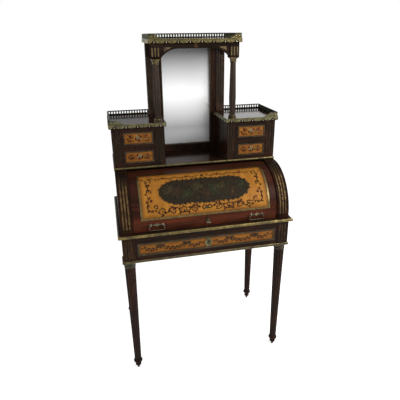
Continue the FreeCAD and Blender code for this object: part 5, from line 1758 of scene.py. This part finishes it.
    def fences(self, runs: Sequence[Path]) -> None:
        """Turned balusters between two rails.

        Args:
            runs: corners of each run, at the foot of the gallery.
        """
        work, brass = self.work, self.rails
        profile = [(radius * self.girth, z) for radius, z in self.BALUSTER]
        baluster = work.master("baluster", turned(profile, SMALL_SIDES, brass))
        low, thick = self.FOOT_RAIL
        fall, thin = self.HEAD_RAIL
        for run in runs:
            feet = [(x, y, self.top + low) for x, y in run]
            length = (Vector(feet[-1]) - Vector(feet[0])).length
            step = length / max(2, round(length / self.spacing))
            self.meshes.append(work.repeat([feet], baluster, brass, step * self.BALUSTER_SLACK))
        for rise, radius in ((low, thick), (self.fence - fall, thin)):
            rails = [[(x, y, self.top + rise) for x, y in run] for run in runs]
            self.meshes.append(work.sweep.run(rails, Radius=radius, Sides=SMALL_SIDES, Finish=brass))

    def volute(self, corner: float, y: float, side: Side) -> None:
        """Cast scroll at the front end of a gallery, falling from the corner.

        Args:
            corner: distance of the corner from the middle of the desk.
            y: Y of its front face.
            side: side of the desk.
        """
        brass, bright = self.cast, self.work.finishes.drop_brass
        relief = Relief()
        s = side.value
        low = self.scroll_tip
        end, top = self.scroll
        run = end - self.crest
        outline = arc((-self.turn, top - self.turn), self.turn, 0.0, 90.0, 6)
        outline += [(-self.crest - run * t, low + (top - low) * (0.5 + 0.5 * math.cos(math.pi * t)))
                    for t in shares(14)]
        rim = [(s * u, v) for u, v in [(0.0, 0.0)] + outline + [(-end, 0.0)]]
        relief.plate(rim if side is Side.RIGHT else rim[::-1], -self.scroll_back, 0.0, brass)
        for centre, size, first, last in self.CURLS:
            curl = [(s * u, v) for u, v in arc(centre, size, first, last, 26, 0.15)]
            relief.ribbon(curl, taper(0.0030), 0.0016, brass, sink=self.SINK)
            relief.dome((s * centre[0], centre[1]), 0.0022, 0.0024, bright, sides=SMALL_SIDES)
        sprig = [(s * (-0.032 - 0.024 * t), 0.0075 - 0.0055 * t) for t in shares(6)]
        relief.ribbon(sprig, taper(0.0034), 0.0012, brass, sink=self.SINK)
        crown = [(s * u * 0.985, v - 0.0011) for u, v in outline]
        relief.ribbon(crown, taper(0.0024), 0.0010, self.rails, sink=self.SINK)
        self.meshes.append(relief.mesh("volute", on_front(s * corner, y, self.top)))

    def finish(self) -> None:
        """Join the brass into one piece for its node."""
        self.work.piece(self.name, self.meshes, "carcass", Slot.BRASS, [self.node])


@dataclass
class Superstructure:
    """Drawer boxes, niche, columns, canopy, mirror and their brass."""

    work: Workshop
    box_x: Point = (0.1415, 0.3915)  # inner and outer face of the right box's top
    box_y: Point = (-0.0105, 0.2390)  # front and back of the boxes' tops
    inner_end: float = 0.2179  # Y where the inner bands end
    box_top: float = 1.183  # Z of the boxes' tops
    canopy_x: float = 0.2005  # half the width of the canopy's top
    canopy_y: float = -0.0205  # Y of its front
    canopy_top: float = 1.529  # Z of its upper face
    rail_inset: float = 0.003  # distance of the galleries from a top's edges
    rail_gap: float = 0.003  # space between the side gallery and the rear one
    column: float = 0.193  # X where the rear pilaster ends
    column_gap: float = 0.002  # space between it and the rear gallery
    scroll_inset: float = 0.0015  # distance of the end scrolls from the corner

    def dress(self) -> None:
        """Give the nodes their finishes."""
        finishes = self.work.finishes
        dress(finishes.upright, "box_left_case", "box_right_case", "mirror_frame")
        dress(finishes.column, "columns", "rear_pilasters")
        dress(finishes.polished, "box_tops", "canopy_top")
        dress(finishes.canopy, "canopy_frieze")
        dress(finishes.waxed, "upper_slab")
        dress(finishes.upper_brass, "upper_moulding")
        dress(finishes.column_brass, "column_brasses")
        dress(finishes.inlay_brass, "canopy_inlays")
        dress(finishes.frame_brass, "mirror_bead")
        low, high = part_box("mirror_glass")
        dress(SilveredGlass("silvered_glass", low.z, high.z).material(), "mirror_glass")

    def edge_boxes(self) -> None:
        """Make the brass edges of the boxes' tops."""
        finishes = self.work.finishes
        edges = TopEdge(self.work, "box_brass_edges", "box_galleries", self.box_top, finishes.cast_brass,
                        finishes.shaded_brass)
        low = self.box_top - edges.height
        inner, outer = self.box_x
        front, back = self.box_y
        rail, wall = outer - self.rail_inset, back - self.rail_inset
        for side in Side:
            s = side.value
            ends = sorted((s * (inner - edges.thickness), s * (outer + edges.thickness)))
            edges.band(*ends, on_front(0.0, front, low))
            edges.band(*side.run(front, back), on_side(side, outer, low))
            facing = side.opposite()
            edges.band(*facing.run(front, self.inner_end), on_side(facing, -inner, low))
            edges.fences([[(s * rail, front + self.rail_inset), (s * rail, wall - self.rail_gap)],
                          [(s * (self.column + self.column_gap), wall), (s * rail, wall)]])
            edges.volute(outer - self.scroll_inset, front, side)
        edges.finish()

    def edge_canopy(self) -> None:
        """Make the brass edges of the canopy's top."""
        finishes = self.work.finishes
        edges = TopEdge(self.work, "canopy_brass_edges", "canopy_gallery", self.canopy_top,
                        finishes.canopy_brass, finishes.fence_brass, girth=1.2, scroll=(0.044, 0.018),
                        crest=0.020)
        low = self.canopy_top - edges.height
        outer, front, back = self.canopy_x, self.canopy_y, self.box_y[1]
        rail, wall = outer - self.rail_inset, back - self.rail_inset
        edges.band(-outer - edges.thickness, outer + edges.thickness, on_front(0.0, front, low))
        for side in Side:
            s = side.value
            edges.band(*side.run(front, back), on_side(side, outer, low))
            edges.fences([[(s * rail, front + self.rail_inset), (s * rail, wall - self.rail_gap)]])
            edges.volute(outer - self.scroll_inset, front, side)
        edges.fences([[(-rail, wall), (rail, wall)]])
        edges.finish()

    def build(self) -> None:
        """Make the brass edges of the tops."""
        self.edge_boxes()
        self.edge_canopy()


@dataclass
class Base:
    """Legs, apron, slab, slide, cheeks and pigeonholes, with turned feet and the gilt studs of the flutes."""

    LEGS: ClassVar[tuple[str, ...]] = ("leg_front_left", "leg_front_right", "leg_rear_left", "leg_rear_right")
    STUD_SLACK: ClassVar[float] = 0.999  # keeps the last stud of a row

    work: Workshop
    stud: float = 0.0024  # radius of a stud
    pitch: float = 0.013  # distance between the flutes
    stud_rows: tuple[Spot, ...] = (  # middle stud of each row on the right
        (0.1685, -0.0002, 1.0060), (0.3645, -0.0002, 1.0060), (0.3570, -0.2272, 0.6390))
    ankle: float = 0.0590  # height where the shaft is cut off
    foot: Points = (  # radius and height of a foot's rings
        (0.0, 0.0), (0.0042, 0.0), (0.0050, 0.0014), (0.0062, 0.0085), (0.0066, 0.0145), (0.0092, 0.0164),
        (0.0134, 0.0184), (0.0147, 0.0216), (0.0138, 0.0250), (0.0110, 0.0274), (0.0100, 0.0300),
        (0.0099, 0.0350), (0.0112, 0.0382), (0.0164, 0.0402), (0.0209, 0.0424), (0.0220, 0.0458),
        (0.0214, 0.0492), (0.0186, 0.0520), (0.0165, 0.0536), (0.0165, 0.0592), (0.0140, 0.0594),
        (0.0140, 0.0610), (0.0, 0.0610))

    def dress(self) -> None:
        """Give the nodes their finishes."""
        finishes = self.work.finishes
        dress(finishes.upright, *self.LEGS)
        dress(finishes.across, "apron_rails", "case_back")
        dress(finishes.deep, "cheek_left", "cheek_right", "desk_bed")
        dress(finishes.inside, "pigeonholes", "writing_slide")
        dress(finishes.apron_brass, "apron_moulding")
        dress(finishes.edge_brass, "desk_moulding", "slide_moulding")
        dress(finishes.collar_bronze, "leg_collars")
        dress(finishes.flute_brass, "flute_linings")
        leather = ToolLeather("tooled_leather", *extent("writing_leather", Axis.ACROSS, Axis.DEEP))
        dress(leather.material(), "writing_leather")

    def leg(self, node: str) -> None:
        """Set a finely turned foot under a leg's shaft.

        Args:
            node: the leg.
        """
        middle, _ = extent(node, Axis.ACROSS, Axis.DEEP)
        foot = turned(self.foot, FOOT_SIDES, self.work.finishes.upright)
        foot.transform(Matrix.Translation((*middle, 0.0)))
        self.work.piece("turned_" + node, [cut_off(node, self.ankle), foot], "carcass", Slot.MAHOGANY, [node])

    def studs(self) -> Mesh:
        """Make the gilt studs at the feet of the flutes.

        Returns:
            The studs.
        """
        brass = self.work.finishes.inlay_brass
        relief = Relief()
        relief.dome((0.0, 0.0), self.stud, self.stud * 0.9, brass, sides=SMALL_SIDES)
        stud = self.work.master("stud", relief.mesh("stud", on_front(0.0, 0.0, 0.0)))
        rows = [[(side.value * x + k * self.pitch, y, z) for k in (-1, 0, 1)]
                for side in Side for x, y, z in self.stud_rows]
        return self.work.repeat(rows, stud, brass, self.pitch * self.STUD_SLACK)

    def build(self) -> None:
        """Turn the feet, and set the gilt studs at the feet of the flutes."""
        for node in self.LEGS:
            self.leg(node)
        self.work.piece("flute_studs", [self.studs()], "carcass", Slot.BRASS)


@dataclass(frozen=True)
class Lamp:
    """Soft square lamp: where it hangs, what it looks at, the length of its side and its watts."""

    name: str
    place: Spot
    target: Spot
    size: float
    power: float

    def hang(self) -> None:
        """Hang the lamp in the scene."""
        data = bpy.data.lights.new(self.name, "AREA")
        data.size = self.size
        data.energy = self.power
        lamp = bpy.data.objects.new(self.name, data)
        lamp.location = self.place
        lamp.rotation_euler = (Vector(self.target) - Vector(self.place)).to_track_quat("-Z", "Y").to_euler()
        bpy.context.scene.collection.objects.link(lamp)


@dataclass
class Studio:
    """Pale floor, white surroundings, soft light and the camera."""

    WHITE: ClassVar[Colour] = (1.0, 1.0, 1.0)

    eye: Spot = (-0.3920, -1.8033, 1.5534)  # place of the camera
    yaw: float = 0.2213  # radians to the right
    pitch: float = 0.3925  # radians down
    roll: float = 0.0110  # radians about the line of sight
    lens: float = 36.504  # focal length in millimetres
    sensor: float = 36.0  # width in millimetres
    sky: float = 0.48  # strength of the light from all round
    lift: float = 0.62  # glow that lets the floor fade into white
    reach: float = 30.0  # half the floor's side
    lamps: tuple[Lamp, ...] = (
        Lamp("key", (1.5, -1.4, 1.9), (0.0, 0.0, 0.8), 1.2, 42.0),
        Lamp("fill", (-2.2, -1.6, 2.0), (0.0, 0.0, 0.8), 1.8, 6.0),
        Lamp("rim", (1.0, 2.0, 1.6), (0.2, 0.1, 1.2), 1.0, 4.6))

    def camera(self) -> None:
        """Set the camera at the photograph's viewing angle."""
        level = math.cos(self.pitch)
        forward = Vector((math.sin(self.yaw) * level, math.cos(self.yaw) * level, -math.sin(self.pitch)))
        right = Vector((math.cos(self.yaw), -math.sin(self.yaw), 0.0))
        right = Matrix.Rotation(self.roll, 3, forward) @ right
        up = right.cross(forward)
        data = bpy.data.cameras.new("camera")
        data.lens = self.lens
        data.sensor_width = self.sensor
        camera = bpy.data.objects.new("camera", data)
        camera.matrix_world = Matrix((right, up, -forward)).transposed().to_4x4()
        camera.location = self.eye
        bpy.context.scene.collection.objects.link(camera)
        bpy.context.scene.camera = camera

    def world(self) -> None:
        """Light everything softly, and show white behind the desk."""
        world = bpy.data.worlds.new("surroundings")
        bpy.context.scene.world = world
        world.use_nodes = True
        graph = Graph(world.node_tree)
        graph.tree.nodes.clear()
        level = graph.span(graph.seen(), 0.0, 1.0, self.sky, 1.0)
        sky = graph.add("ShaderNodeBackground", {"Color": self.WHITE, "Strength": level})
        graph.add("ShaderNodeOutputWorld", {"Surface": sky.outputs[0]})

    def floor(self) -> None:
        """Lay a pale floor that fades into white and keeps the desk's shadow."""
        mesh = bpy.data.meshes.new("floor")
        corners = ((-1, -1), (1, -1), (1, 1), (-1, 1))
        mesh.from_pydata([(x * self.reach, y * self.reach, 0.0) for x, y in corners], [], [(0, 1, 2, 3)])
        floor = bpy.data.objects.new("floor", mesh)
        bpy.context.scene.collection.objects.link(floor)
        graph = ShaderGraph("pale_floor")
        grit = graph.noise(scale=40.0, detail=3.0)
        colour = graph.ramp(grit, [(0.3, (0.86, 0.86, 0.86)), (0.7, (0.89, 0.89, 0.89))])
        graph.paint(Base_Color=colour, Roughness=0.9, Specular_IOR_Level=0.0, Emission_Color=self.WHITE,
                    Emission_Strength=graph.math("MULTIPLY", graph.seen(), self.lift))
        mesh.materials.append(graph.material)

    def build(self) -> None:
        """Set up the studio."""
        bpy.context.scene.view_settings.view_transform = "Standard"
        self.camera()
        self.world()
        self.floor()
        for lamp in self.lamps:
            lamp.hang()


def main() -> None:
    """Build and dress the desk, piece by piece."""
    logging.basicConfig(level=logging.INFO, format="%(message)s")
    finishes = Finishes()
    work = Workshop(finishes)
    for part in (Base(work), Shutter(work), FriezeDrawer(work), SmallDrawers(work), Superstructure(work)):
        LOG.info("building %s", type(part).__name__)
        part.dress()
        part.build()
    work.tidy()
    Studio().build()
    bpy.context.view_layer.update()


if __name__ == "__main__":
    main()
